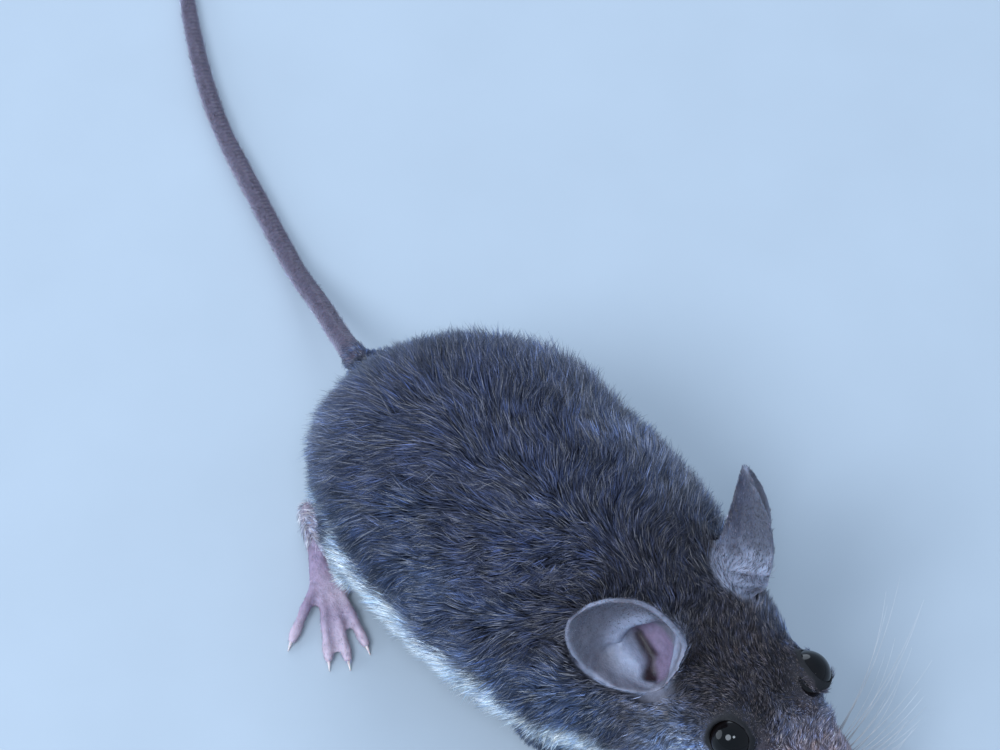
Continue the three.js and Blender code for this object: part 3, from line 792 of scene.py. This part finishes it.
def coat_colours():
    """Colours of the coat at each point: next to the skin, along the hair, and the tips."""
    x = AHEAD
    patch = wander(11, 150)
    back = smoothstep(0.5, 0.92, height + 0.05 * patch)
    band = curve_at(PALE_BAND, x)
    pale = 1 - smoothstep(band - 0.07, band + 0.07, height + 0.03 * patch)
    far = smoothstep(0.25, 0.8, aside) * smoothstep(0.35, 0.55, height)
    rear = (1 - smoothstep(5, 20, x)) * (1 - smoothstep(0.78, 1.0, height))
    rear *= smoothstep(-0.1, 0.4, -aside)
    layers = [
        (BACK, back),
        # painted light: the far side and the near side of the rump are made lighter for the light that
        # falls there
        (PAINTED_LIGHT_COAT, np.maximum(0.3 * far, 0.85 * rear)),
        # darker nape: the coat's own tone plus painted shade behind the ears
        (NAPE_AND_SHADE, 0.8 * smoothstep(*NAPE_FROM, x) * smoothstep(0.62, 0.9, height)),
        (CROWN, smoothstep(*CROWN_FROM, x)),
        (CHEEK, smoothstep(*CHEEK_FROM, x) * (1 - smoothstep(0.5, 0.92, height))),
        (SNOUT, smoothstep(*SNOUT_FROM, x)),
        (BELLY, pale),
    ]
    colours = []
    for k in range(3):
        colour = FLANK[k]
        for table, share in layers:
            colour = mix(colour, table[k], share)
        for words, table in ((("thigh", "upper_arm"), FLANK), (("shank", "forearm"), LEG),
                             (("hind_foot", "forefoot"), FOOT), (("ear",), EAR_HAIR)):
            colour[np.isin(part_of, words)] = table[k]
        legs = np.isin(part_of, ("thigh", "shank")) * smoothstep(15.5, 18.5, x)
        legs *= 1 - smoothstep(8.0, 12.0, V[:, 2] + 0.8 * patch)
        colour = mix(colour, BELLY[k], legs)
        colour = mix(colour, LEG[k], np.maximum(ankle, heel))
        here = part_of == "tail"
        under = 1 - smoothstep(-0.1, 0.5, N[here, 2])
        tail = mix(TAIL_TOP[k], TAIL_UNDER[k], under)
        colour[here] = mix(tail, FLANK[k], near_rump[here] * (k > 0))
        for side in SIDES:
            base, tip, facing = ear_axes(side)[:3]
            near = bell(away_from(V, base + 1.7 * facing - 0.6 * tip), 1.8) * (part_of == "head")
            colour = mix(colour, EAR_BASE[k], 0.85 * near)
        colours.append(around.smooth(colour, 12))
    return colours


def toe_tips():
    tips = []
    for foot in FEET:
        form = HIND_FOOT if foot[0] == "hind" else FORE_FOOT
        for toe in form["toes"]:
            tips.append(placed(toe_points(form, toe, 2)[0][-1:], foot)[0])
    return tips


def skin_colours():
    """Colours of the skin itself, under the coat and where it is bare, with painted highlights on the
    ears' rims and folds and painted shade in their openings.
    """
    colour = coat_root.copy()
    streaks = wander(12, 6)
    for side in SIDES:
        here = np.nonzero(node_of == FLESH.index(f"ear_{side}"))[0]
        across, along, inner = ear_place(V[here], N[here], side)
        back = mix(EAR_BACK, EAR_PALE_AND_HIGHLIGHT, 1 - smoothstep(0.16, 0.6, along + 0.03 * streaks[here]))
        open_side = mix(EAR_INSIDE, EAR_BACK, 0.5 * smoothstep(0.5, 1, along))
        # painted highlight along the raised folds of the ear's inner side
        for line, rise, width in RIDGES[:2]:
            reach = bell(away_from_line(across, along, line), width * 1.35)
            open_side = mix(open_side, EAR_PALE_AND_HIGHLIGHT, reach)
        # the concha's own colour, and the slit's red-brown deepened with painted shade in the ear's
        # opening
        for colour_there, line, near, far in ((CONCHA, BOWL[0], 0.9, 1.5), (MEATUS_AND_SHADE, SLIT[0], 0.25, 0.65)):
            reach = 1 - smoothstep(near, far, away_from_line(across, along, line))
            open_side = mix(open_side, colour_there, reach)
        # painted highlight along the ear's rim, stronger on the inner side
        rim = smoothstep(0.92, 1.03, np.abs(across)) * smoothstep(0.1, 0.3, along)
        rim = np.maximum(rim, smoothstep(0.95, 0.99, along))
        ear = np.where(inner[:, None], open_side, back)
        colour[here] = mix(ear, EAR_PALE_AND_HIGHLIGHT, np.where(inner, 0.55, 0.12) * rim)
    colour = around.smooth(colour, 2)
    feet = np.isin(part_of, ("hind_foot", "forefoot"))
    for tip in toe_tips():
        colour = mix(colour, TOE_TIP, bell(away_from(V, tip), 2.8) * feet)
    for side in SIDES:
        colour = mix(colour, LID, on_lid(side))
    nose = around.smooth((part_of == "nose").astype(float), 4)
    colour = mix(colour, NOSE_PINK, nose)
    return colour


coat_root, coat_middle, coat_tip = coat_colours()
skin_tint = skin_colours()
bare = around.smooth(np.isin(part_of, BARE).astype(float), 4)
rings = np.zeros(len(V))
tail_here = part_of == "tail"
rings[tail_here] = tail_place(V[tail_here])[0]


# ---------------------------------------------------------------- materials
class Nodes:
    """A material's nodes, added one at a time and wired by name."""

    def __init__(self, name):
        self.material = bpy.data.materials.new(name)
        self.material.use_nodes = True
        self.tree = self.material.node_tree
        self.shader = self.tree.nodes["Principled BSDF"]

    def add(self, kind, **settings):
        node = self.tree.nodes.new(kind)
        for word, value in settings.items():
            setattr(node, word, value)
        return node

    def wire(self, source, target):
        self.tree.links.new(source, target)

    def attribute(self, name):
        return self.add("ShaderNodeAttribute", attribute_name=name)

    def noise(self, scale, detail=3.0):
        """Noise in the object's own space; scale is in features to the metre."""
        place = self.add("ShaderNodeTexCoord")
        noise = self.add("ShaderNodeTexNoise")
        noise.inputs["Scale"].default_value = scale
        noise.inputs["Detail"].default_value = detail
        self.wire(place.outputs["Object"], noise.inputs["Vector"])
        return noise.outputs["Fac"]

    def ranged(self, value, low, high, from_low=0.3, from_high=0.7):
        node = self.add("ShaderNodeMapRange")
        self.wire(value, node.inputs["Value"])
        node.inputs["From Min"].default_value = from_low
        node.inputs["From Max"].default_value = from_high
        node.inputs["To Min"].default_value = low
        node.inputs["To Max"].default_value = high
        return node.outputs["Result"]

    def math(self, operation, first, second):
        node = self.add("ShaderNodeMath", operation=operation)
        for value, socket in zip((first, second), node.inputs):
            if isinstance(value, (int, float)):
                socket.default_value = value
            else:
                self.wire(value, socket)
        return node.outputs["Value"]

    def tint(self, scale, low, high):
        """The piece's own tint, varied by noise, as the base colour."""
        scaled = self.add("ShaderNodeVectorMath", operation="SCALE")
        self.wire(self.attribute("tint").outputs["Color"], scaled.inputs[0])
        self.wire(self.ranged(self.noise(scale), low, high), scaled.inputs["Scale"])
        self.wire(scaled.outputs["Vector"], self.shader.inputs["Base Color"])

    def bump(self, height, distance, strength=1.0):
        node = self.add("ShaderNodeBump")
        node.inputs["Distance"].default_value = distance * MM
        node.inputs["Strength"].default_value = strength
        self.wire(height, node.inputs["Height"])
        self.wire(node.outputs["Normal"], self.shader.inputs["Normal"])

    def set(self, **values):
        for word, value in values.items():
            self.shader.inputs[word.replace("_", " ")].default_value = value


def coat_material():
    nodes = Nodes("coat")
    nodes.tint(700, 0.82, 1.18)
    nodes.set(Roughness=0.5, Specular_IOR_Level=0.3)
    return nodes.material


def skin_material():
    """Fine pores everywhere and rings of scales on the tail; bare skin is smoother and thin."""
    nodes = Nodes("skin")
    nodes.tint(1600, 0.86, 1.14)
    naked = nodes.attribute("bare").outputs["Fac"]
    nodes.wire(nodes.ranged(naked, 0.75, 0.5, 0, 1), nodes.shader.inputs["Roughness"])
    nodes.wire(nodes.ranged(naked, 0.0, 0.35, 0, 1), nodes.shader.inputs["Subsurface Weight"])
    nodes.set(Subsurface_Scale=0.6 * MM, Subsurface_Radius=(1.0, 0.45, 0.35), Specular_IOR_Level=0.4)
    wave = nodes.math("SINE", nodes.math("MULTIPLY", nodes.attribute("rings").outputs["Fac"],
                                         2 * math.pi / TAIL_RING), 0.0)
    height = nodes.math("ADD", nodes.math("MULTIPLY", wave, 0.35), nodes.noise(5200, 4.0))
    nodes.bump(height, 0.09, 0.8)
    return nodes.material


def eye_material():
    """Wet and nearly black."""
    nodes = Nodes("eye")
    nodes.tint(900, 0.7, 1.3)
    nodes.set(Roughness=0.06, Specular_IOR_Level=0.22)
    return nodes.material


def horn_material():
    nodes = Nodes("claw")
    nodes.tint(2500, 0.85, 1.15)
    nodes.set(Roughness=0.3, Subsurface_Weight=0.3, Subsurface_Scale=0.4 * MM)
    nodes.bump(nodes.noise(6000), 0.03)
    return nodes.material


def whisker_material():
    nodes = Nodes("whisker")
    nodes.tint(300, 0.8, 1.2)
    nodes.set(Roughness=0.35)
    return nodes.material


TAIL_RING = 0.55  # between the rings of scales
COAT = coat_material()


def give_attribute(mesh, name, values):
    """Stores a colour or a number at each vertex."""
    values = np.asarray(values, dtype=np.float32)
    if values.ndim == 1:
        mesh.attributes.new(name, "FLOAT", "POINT").data.foreach_set("value", values)
        return
    rgba = np.ones((len(values), 4), dtype=np.float32)
    rgba[:, :3] = np.clip(values, 0, 1)
    mesh.color_attributes.new(name, "FLOAT_COLOR", "POINT").data.foreach_set("color", rgba.ravel())


def dress(piece, material):
    """Gives a piece its one material and smooth shading."""
    mesh = piece.data
    mesh.polygons.foreach_set("use_smooth", np.ones(len(mesh.polygons), dtype=bool))
    mesh.materials.clear()
    mesh.materials.append(material)


# ---------------------------------------------------------------- skin, finished
SKIN_TRIANGLES = 180000


def finish_skin():
    skin.data.vertices.foreach_set("co", (V * MM).astype(np.float32).ravel())
    skin.data.update()
    for name, values in (("tint", skin_tint), ("bare", bare), ("rings", rings)):
        give_attribute(skin.data, name, values)
    if len(T) > SKIN_TRIANGLES:
        with_modifier(skin, "DECIMATE", ratio=SKIN_TRIANGLES / len(T))
    dress(skin, skin_material())
    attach(skin, "root")
    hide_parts(*FLESH)


# ---------------------------------------------------------------- unwrap
CELL_ROWS = {"across": 9, "down": 2, "height": 0.16}  # of small cells under the body's
TUFT_PATCH = 0.003
SMALL_NODES = [node for node in FLESH if part_word(node) not in BODY]


def round_axis(points, start, end):
    """Share of the way along an axis, and the angle round it from 0 to 1."""
    axis = direction(end - start)
    side = direction(np.cross(axis, [0.3, 0.2, 1.0]))
    offset = points - start
    along = offset @ axis / np.linalg.norm(end - start)
    return along, np.arctan2(offset @ np.cross(axis, side), offset @ side) / (2 * math.pi) + 0.5


def unwrapped(points, nodes):
    """Place of each point on a flat layout of the skin: the body opened along its belly, and
    each limb, ear and length of tail opened in a small cell of its own."""
    x = points[:, 0]
    along = (x - ROW_X[0]) / (ROW_X[-1] - ROW_X[0])
    heart = (np.interp(x, ROW_X, ROWS[:, 2]) + np.interp(x, ROW_X, ROWS[:, 3])) / 2
    round_body = np.arctan2(points[:, 1] - middle_at(x), points[:, 2] - heart) / (2 * math.pi) + 0.5
    floor_of_body = CELL_ROWS["down"] * CELL_ROWS["height"]
    places = np.stack([
        0.01 + 0.98 * np.clip(along, 0, 1),
        floor_of_body + 0.01 + (0.98 - floor_of_body) * round_body,
    ], axis=1)
    for i, node in enumerate(SMALL_NODES):
        here = nodes == FLESH.index(node)
        if not here.any():
            continue
        low, high = box_mm(node)
        span = high - low
        start, end = np.tile((low + high) / 2, (2, 1))
        axis = int(np.argmax(span))
        start[axis], end[axis] = low[axis], high[axis]
        share, turn = round_axis(points[here], start, end)
        corner = np.array([i % CELL_ROWS["across"], i // CELL_ROWS["across"]])
        size = np.array([1 / CELL_ROWS["across"], CELL_ROWS["height"]])
        inside = np.stack([np.clip(turn, 0, 1), np.clip(share, 0, 1)], axis=1)
        places[here] = (corner + 0.06 + 0.88 * inside) * size
    return np.clip(places, TUFT_PATCH, 1 - TUFT_PATCH)


# ---------------------------------------------------------------- coat
CLUMP = 9  # hairs whose tips draw together
HAIR_SHAPE = np.array([[0, 2, 1], [0, 3, 2], [0, 1, 3], [4, 1, 2], [4, 2, 3], [4, 3, 1]])
HAIR_PATCH = np.array([[0.5, 0], [0, 0.5], [0.5, 0.5], [1, 0.5], [0.5, 1]])  # of the five corners
BEND_AT = 0.42  # where a hair is thickest and bends over
PIECE_TRIANGLES = 190000
TURN = {"locks": 0.3, "tufts": 0.27, "hair": 0.27}  # how far each turns from the lie, in radians
WARMTH = np.array([0.12, 0.02, -0.12])  # how much browner than the coat a warm hair is


def areas_of(triangles):
    corners = V[triangles]
    across = np.cross(corners[:, 1] - corners[:, 0], corners[:, 2] - corners[:, 0])
    return np.linalg.norm(across, axis=1) / 2


class Roots:
    """Random places on chosen triangles of the skin, as dense as the density field says."""

    def __init__(self, chosen, rng):
        triangles = T[chosen]
        edges = np.cumsum(areas_of(triangles) * density[triangles].mean(axis=1))
        count = int(edges[-1])
        marks = np.arange(count) + rng.random(count)
        face = np.minimum(np.searchsorted(edges, marks), len(triangles) - 1)
        first, second = rng.random((2, count))
        flip = first + second > 1
        first[flip] = 1 - first[flip]
        second[flip] = 1 - second[flip]
        self.count = count
        self.corners = triangles[face]
        self.weights = np.stack([1 - first - second, first, second], axis=1)

    def take(self, values):
        weights = self.weights if values.ndim == 1 else self.weights[:, :, None]
        return np.sum(values[self.corners] * weights, axis=1)


def clump_of(place, rng):
    """Number of the hair that each hair leans to."""
    leaders = rng.choice(len(place), max(1, len(place) // CLUMP), replace=False)
    tree = KDTree(len(leaders))
    for i, leader in enumerate(leaders):
        tree.insert(place[leader], i)
    tree.balance()
    return leaders[[tree.find(point)[1] for point in place]]


def coat_piece(name, chosen, rng, width, pull=0.45):
    roots = Roots(chosen, rng)
    place, normal = roots.take(V), unit(roots.take(N))
    heading = unit(tangent(roots.take(lie), normal))
    aside = np.cross(normal, heading)
    turn = roots.take(turning) + rng.normal(0, TURN["hair"], roots.count)
    heading = heading * np.cos(turn)[:, None] + aside * np.sin(turn)[:, None]
    aside = np.cross(normal, heading)
    long = roots.take(length) * rng.uniform(0.65, 1.15, roots.count)
    stand = roots.take(standing)
    rise = roots.take(depth) * (rng.uniform(0.55, 1.0, roots.count) + stand * rng.random(roots.count))
    rise = np.clip(rise, 0.2 * long, 0.75 * long)
    run = np.sqrt(long ** 2 - rise ** 2)
    thick = width * rng.uniform(0.75, 1.25, roots.count)
    bend = place + heading * (run * BEND_AT)[:, None] + normal * (rise * 0.64)[:, None]
    tip = place + heading * run[:, None] + normal * rise[:, None]
    leader = clump_of(place, rng)
    draw = pull * rng.uniform(0.4, 1.2, roots.count)
    close = bell(away_from(place, place[leader]), 1.4)
    draw = (draw * close)[:, None]
    tip += draw * (tip[leader] - tip)
    bend += 0.3 * draw * (bend[leader] - bend)
    corners = [place - 0.1 * normal]
    for angle in (math.radians(90), math.radians(210), math.radians(330)):
        offset = aside * math.cos(angle) + normal * math.sin(angle)
        corners.append(bend + offset * thick[:, None])
    corners.append(tip)
    vertices = np.stack(corners, axis=1).reshape(-1, 3)
    vertices[:, 2] = np.maximum(vertices[:, 2], 0.02)
    starts = 5 * np.arange(roots.count)[:, None, None]
    piece = make_object(name, vertices, (HAIR_SHAPE[None] + starts).reshape(-1, 3))
    give_attribute(piece.data, "tint", hair_colours(roots, leader, rng))
    lay_patches(piece, roots)
    dress(piece, COAT)
    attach(piece, "root")
    return piece


def hair_colours(roots, leader, rng):
    """Dark next to the skin and lighter outwards, with some hairs much lighter than the rest: their own
    pale bands, brightened with painted sheen.
    """
    own = rng.random(roots.count)
    shade = rng.lognormal(-0.1, 0.5, roots.count) * rng.lognormal(-0.06, 0.4, roots.count)[leader]
    warm = rng.normal(0, 1, roots.count) * 0.6 + rng.normal(0, 1, roots.count)[leader] * 0.8
    shade = shade[:, None] * np.exp(warm[:, None] * WARMTH)
    # pale tips on some hairs: partly their own bands, partly painted sheen
    pale_tip_and_sheen = smoothstep(0.78, 1.0, own)
    dark = roots.take(coat_root)
    middle = roots.take(coat_middle) * shade
    end = mix(middle, roots.take(coat_tip), pale_tip_and_sheen)
    middle = mix(mix(dark, middle, np.full(roots.count, 0.75)), roots.take(coat_tip), pale_tip_and_sheen * 0.35)
    return np.stack([dark, middle, middle, middle, end], axis=1).reshape(-1, 3)


def lay_patches(piece, roots):
    """The OFBake map: each hair has a small square at its root's place on the unwrapped skin."""
    owner = node_of[roots.corners[:, 0]]
    centre = unwrapped(roots.take(V), owner)
    corners = centre[:, None] + (HAIR_PATCH[None] - 0.5) * TUFT_PATCH
    loops = corners[:, HAIR_SHAPE.ravel()].reshape(-1, 2)
    layer = piece.data.uv_layers.new(name="OFBake")
    layer.uv.foreach_set("vector", loops.astype(np.float32).ravel())


def grow_coat():
    """The coat in pieces, each from a run of the body along x."""
    rng = np.random.default_rng(7)
    part_of_face = part_of[T[:, 0]]
    hairs = areas_of(T) * density[T].mean(axis=1)
    for word, (members, width, pull) in COAT_GROUPS.items():
        chosen = np.nonzero(np.isin(part_of_face, members))[0]
        chosen = chosen[np.argsort(V[T[chosen, 0], 0], kind="stable")]
        amount = np.cumsum(hairs[chosen])
        pieces = math.ceil(amount[-1] * len(HAIR_SHAPE) / PIECE_TRIANGLES)
        for i in range(pieces):
            low, high = amount[-1] * i / pieces, amount[-1] * (i + 1) / pieces
            here = chosen[(amount > low) & (amount <= high)]
            coat_piece(f"coat_{word}_{i + 1}", here, rng, width, pull)


COAT_GROUPS = {
    "body": (("trunk", "neck", "thigh", "upper_arm"), 0.042, 0.5),
    "head": (("head", "muzzle", "lower_jaw"), 0.032, 0.3),
    "legs": (("shank", "forearm"), 0.03, 0.2),
    "feet": (("hind_foot", "forefoot"), 0.018, 0.1),
    "ears": (("ear",), 0.022, 0.1),
    "tail": (("tail",), 0.018, 0.1),
}
turning = TURN["locks"] * wander(5, 90) + TURN["tufts"] * wander(6, 14)
far_side = smoothstep(0.1, 0.6, aside) * smoothstep(0.3, 0.6, height) * on_body
top_of_rump = smoothstep(0.5, 0.85, height) * smoothstep(6, 12, AHEAD)
top_of_rump *= (1 - smoothstep(22, 34, AHEAD)) * on_body
length += 1.6 * top_of_rump + 0.9 * far_side * smoothstep(0.45, 0.8, aside)
fringe = bell(height - curve_at(PALE_BAND, AHEAD) + 0.08, 0.14) * on_body * (aside < 0)
length += 0.7 * fringe
standing = np.clip(0.15 + 0.6 * far_side + 1.1 * top_of_rump + 0.5 * fringe, 0, 1.3)


# ---------------------------------------------------------------- eyes, claws and whiskers
EYE_COLOURS = ((0.001, 0.001, 0.001), (0.003, 0.002, 0.002))


def make_eye(side):
    shape = bmesh.new()
    bmesh.ops.create_uvsphere(shape, u_segments=56, v_segments=36, radius=1)
    bmesh.ops.triangulate(shape, faces=shape.faces, quad_method="FIXED")
    ball, triangles = taken_from(shape)
    outward, along, upward = eye_axes(side)
    centre, radius = EYE[side]["centre"], EYE[side]["radius"]
    turned = ball[:, :1] * along + ball[:, 1:2] * upward + ball[:, 2:] * outward
    piece = make_object(f"eyeball_{side}", turned * radius + centre, triangles)
    pupil = smoothstep(0.35, 0.75, np.hypot(ball[:, 0], ball[:, 1]))
    give_attribute(piece.data, "tint", mix(*EYE_COLOURS, pupil))
    dress(piece, eye_material())
    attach(piece, "root")
    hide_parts(f"eye_{side}")


def tube(path, radii, sides):
    """A closed tube along a path, tapering with the radii; its ends are caps."""
    path = np.asarray(path, dtype=float)
    headings = unit(np.gradient(path, axis=0))
    first = unit(np.cross(headings, [0.1, 0.2, 1.0]))[:, None]
    second = np.cross(headings, first[:, 0])[:, None]
    angles = np.linspace(0, 2 * math.pi, sides, endpoint=False)[None, :, None]
    spokes = np.cos(angles) * first + np.sin(angles) * second
    rings = path[:, None] + spokes * np.asarray(radii)[:, None, None]
    vertices = np.concatenate([rings.reshape(-1, 3), path[:1], path[-1:]])
    faces = []
    for i in range(len(path) - 1):
        for j in range(sides):
            a, b = i * sides + j, i * sides + (j + 1) % sides
            faces += [[a, b, b + sides], [a, b + sides, a + sides]]
    start, end = len(path) * sides, len(path) * sides + 1
    last = (len(path) - 1) * sides
    for j in range(sides):
        faces.append([start, (j + 1) % sides, j])
        faces.append([end, last + j, last + (j + 1) % sides])
    return vertices, np.array(faces)


CLAW = {"root": 0.3, "tip": 0.06, "rise": 0.5, "bed": 0.5, "arch": 0.16}
CLAW_COLOURS = ((0.50, 0.34, 0.36), (0.66, 0.58, 0.54))


def make_claws():
    """One claw at the end of each toe, arched down to the floor."""
    shapes, shares = [], []
    for foot in FEET:
        form = HIND_FOOT if foot[0] == "hind" else FORE_FOOT
        for toe in form["toes"]:
            points = toe_points(form, toe, 30)[0]
            end = points[-1]
            ahead = np.array([math.cos(math.radians(toe[2])), math.sin(math.radians(toe[2])), 0])
            t = np.linspace(0, 1, 9)
            drop = CLAW["rise"] + (CLAW["tip"] * 1.6 - CLAW["rise"]) * t ** 1.5
            rise = drop + CLAW["arch"] * np.sin(math.pi * t)
            path = end + ahead * ((form["claw"] + CLAW["bed"]) * t - CLAW["bed"])[:, None]
            path[:, 2] = rise
            radii = CLAW["root"] + (CLAW["tip"] - CLAW["root"]) * t
            radii = np.minimum(radii, path[:, 2] - 0.01)
            vertices, faces = tube(placed(path, foot), radii, 8)
            shapes.append((vertices, faces))
            shares.append(np.concatenate([np.repeat(t, 8), [0, 1]]))
    piece = make_object("claws", *joined(shapes))
    give_attribute(piece.data, "tint", mix(*CLAW_COLOURS, np.concatenate(shares)))
    dress(piece, horn_material())
    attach(piece, "root")


WHISKER = {"rows": 4, "columns": 5, "root": 0.055, "tip": 0.012, "droop": 0.16}
WHISKER_COLOURS = ((0.10, 0.085, 0.085), (0.62, 0.60, 0.60))


def make_whiskers(side):
    """Rows of whiskers on the pad beside the nose, the hinder ones longer."""
    rng = np.random.default_rng(3 if side == "left" else 4)
    sign = SIDES[side]
    on_pad = np.isin(part_of, ("muzzle",))
    skin_points, skin_normals = V[on_pad], N[on_pad]
    shapes, shares = [], []
    for row in range(WHISKER["rows"]):
        for column in range(WHISKER["columns"]):
            goal = NOSE_TIP + (-2.2 - 1.0 * column, sign * 3.0, 1.5 - 0.8 * row)
            nearest = np.argmin(away_from(skin_points, goal))
            root, out = skin_points[nearest], skin_normals[nearest]
            long = (9.0 + 2.1 * column) * rng.uniform(0.85, 1.1)
            heading = np.array([0.45 - 0.2 * column, sign * 1.0, 0.42 - 0.2 * row])
            heading = heading + 0.5 * out + rng.normal(0, 0.06, 3)
            heading = direction(heading)
            sweep = np.array([-0.35, 0.1 * sign, -WHISKER["droop"]]) * rng.uniform(0.5, 1.2)
            t = np.linspace(0, 1, 14)
            path = root - 0.3 * out + heading * (long * t)[:, None] + sweep * (long * t ** 2)[:, None]
            path[:, 2] = np.maximum(path[:, 2], 0.3)
            radii = WHISKER["root"] + (WHISKER["tip"] - WHISKER["root"]) * t ** 0.7
            shapes.append(tube(path, radii, 5))
            shares.append(np.concatenate([np.repeat(t, 5), [0, 1]]))
    piece = make_object(f"whiskers_{side}", *joined(shapes))
    give_attribute(piece.data, "tint", mix(*WHISKER_COLOURS, np.concatenate(shares) ** 0.6))
    dress(piece, whisker_material())
    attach(piece, "root")


finish_skin()
grow_coat()
for side in SIDES:
    make_eye(side)
    make_whiskers(side)
make_claws()


# ---------------------------------------------------------------- stage
CAMERA_PLACE = np.array([236.7, -208.0, 471.2]) + SHIFT
CAMERA_TURN = math.radians(46)  # round the upright, from looking along +Y
CAMERA_DROP = math.radians(56)  # how steeply it looks down
CAMERA_LENS = 187.5


def make_camera():
    data = bpy.data.cameras.new("camera")
    data.lens = CAMERA_LENS
    data.sensor_width = 36
    data.clip_start = 0.01
    data.clip_end = 20
    camera = bpy.data.objects.new("camera", data)
    level = Vector((-math.sin(CAMERA_TURN), math.cos(CAMERA_TURN), 0))
    look = level * math.cos(CAMERA_DROP) - Vector((0, 0, math.sin(CAMERA_DROP)))
    right = Vector((math.cos(CAMERA_TURN), math.sin(CAMERA_TURN), 0))
    up = right.cross(look)
    turn = Matrix((right, up, -look)).transposed().to_4x4()
    camera.matrix_world = Matrix.Translation(Vector(CAMERA_PLACE * MM)) @ turn
    bpy.context.scene.collection.objects.link(camera)
    bpy.context.scene.camera = camera


FLOOR_COLOUR = (0.37, 0.41, 0.45)
FLOOR_REACH = 1500
SKY = (0.58, 0.76, 1.0)
SKY_STRENGTH = 0.9
LAMP_COLOUR = (0.75, 0.86, 1.0)
# Name, place in metres, watts and width
LAMPS = [("key", (0.05, -0.5, 0.6), 4.5, 0.36), ("fill", (0.3, -0.25, 0.65), 1.2, 0.14),
         ("back", (-0.5, 0.4, 0.35), 2.5, 0.5), ("side", (-0.5, -0.5, 0.22), 2.4, 0.5)]


def make_stage():
    vertices = np.array([[-1, -1, 0], [1, -1, 0], [1, 1, 0], [-1, 1, 0]], dtype=float) * FLOOR_REACH
    floor = make_object("floor", vertices, [[0, 1, 2, 3]])
    give_attribute(floor.data, "tint", np.tile(FLOOR_COLOUR, (4, 1)))
    nodes = Nodes("floor")
    nodes.tint(60, 0.98, 1.02)
    nodes.set(Roughness=0.8)
    floor.data.materials.append(nodes.material)
    world = bpy.data.worlds.new("world")
    bpy.context.scene.world = world
    world.use_nodes = True
    background = world.node_tree.nodes["Background"]
    background.inputs["Color"].default_value = (*SKY, 1)
    background.inputs["Strength"].default_value = SKY_STRENGTH
    for name, place, energy, size in LAMPS:
        data = bpy.data.lights.new(name, "AREA")
        data.shape = "DISK"
        data.size = size
        data.energy = energy
        data.color = LAMP_COLOUR
        lamp = bpy.data.objects.new(name, data)
        place = Vector(place)
        turn = place.to_track_quat("Z", "Y").to_matrix().to_4x4()
        lamp.matrix_world = Matrix.Translation(place) @ turn
        bpy.context.scene.collection.objects.link(lamp)


make_camera()
make_stage()
bpy.context.scene.view_settings.view_transform = "Standard"
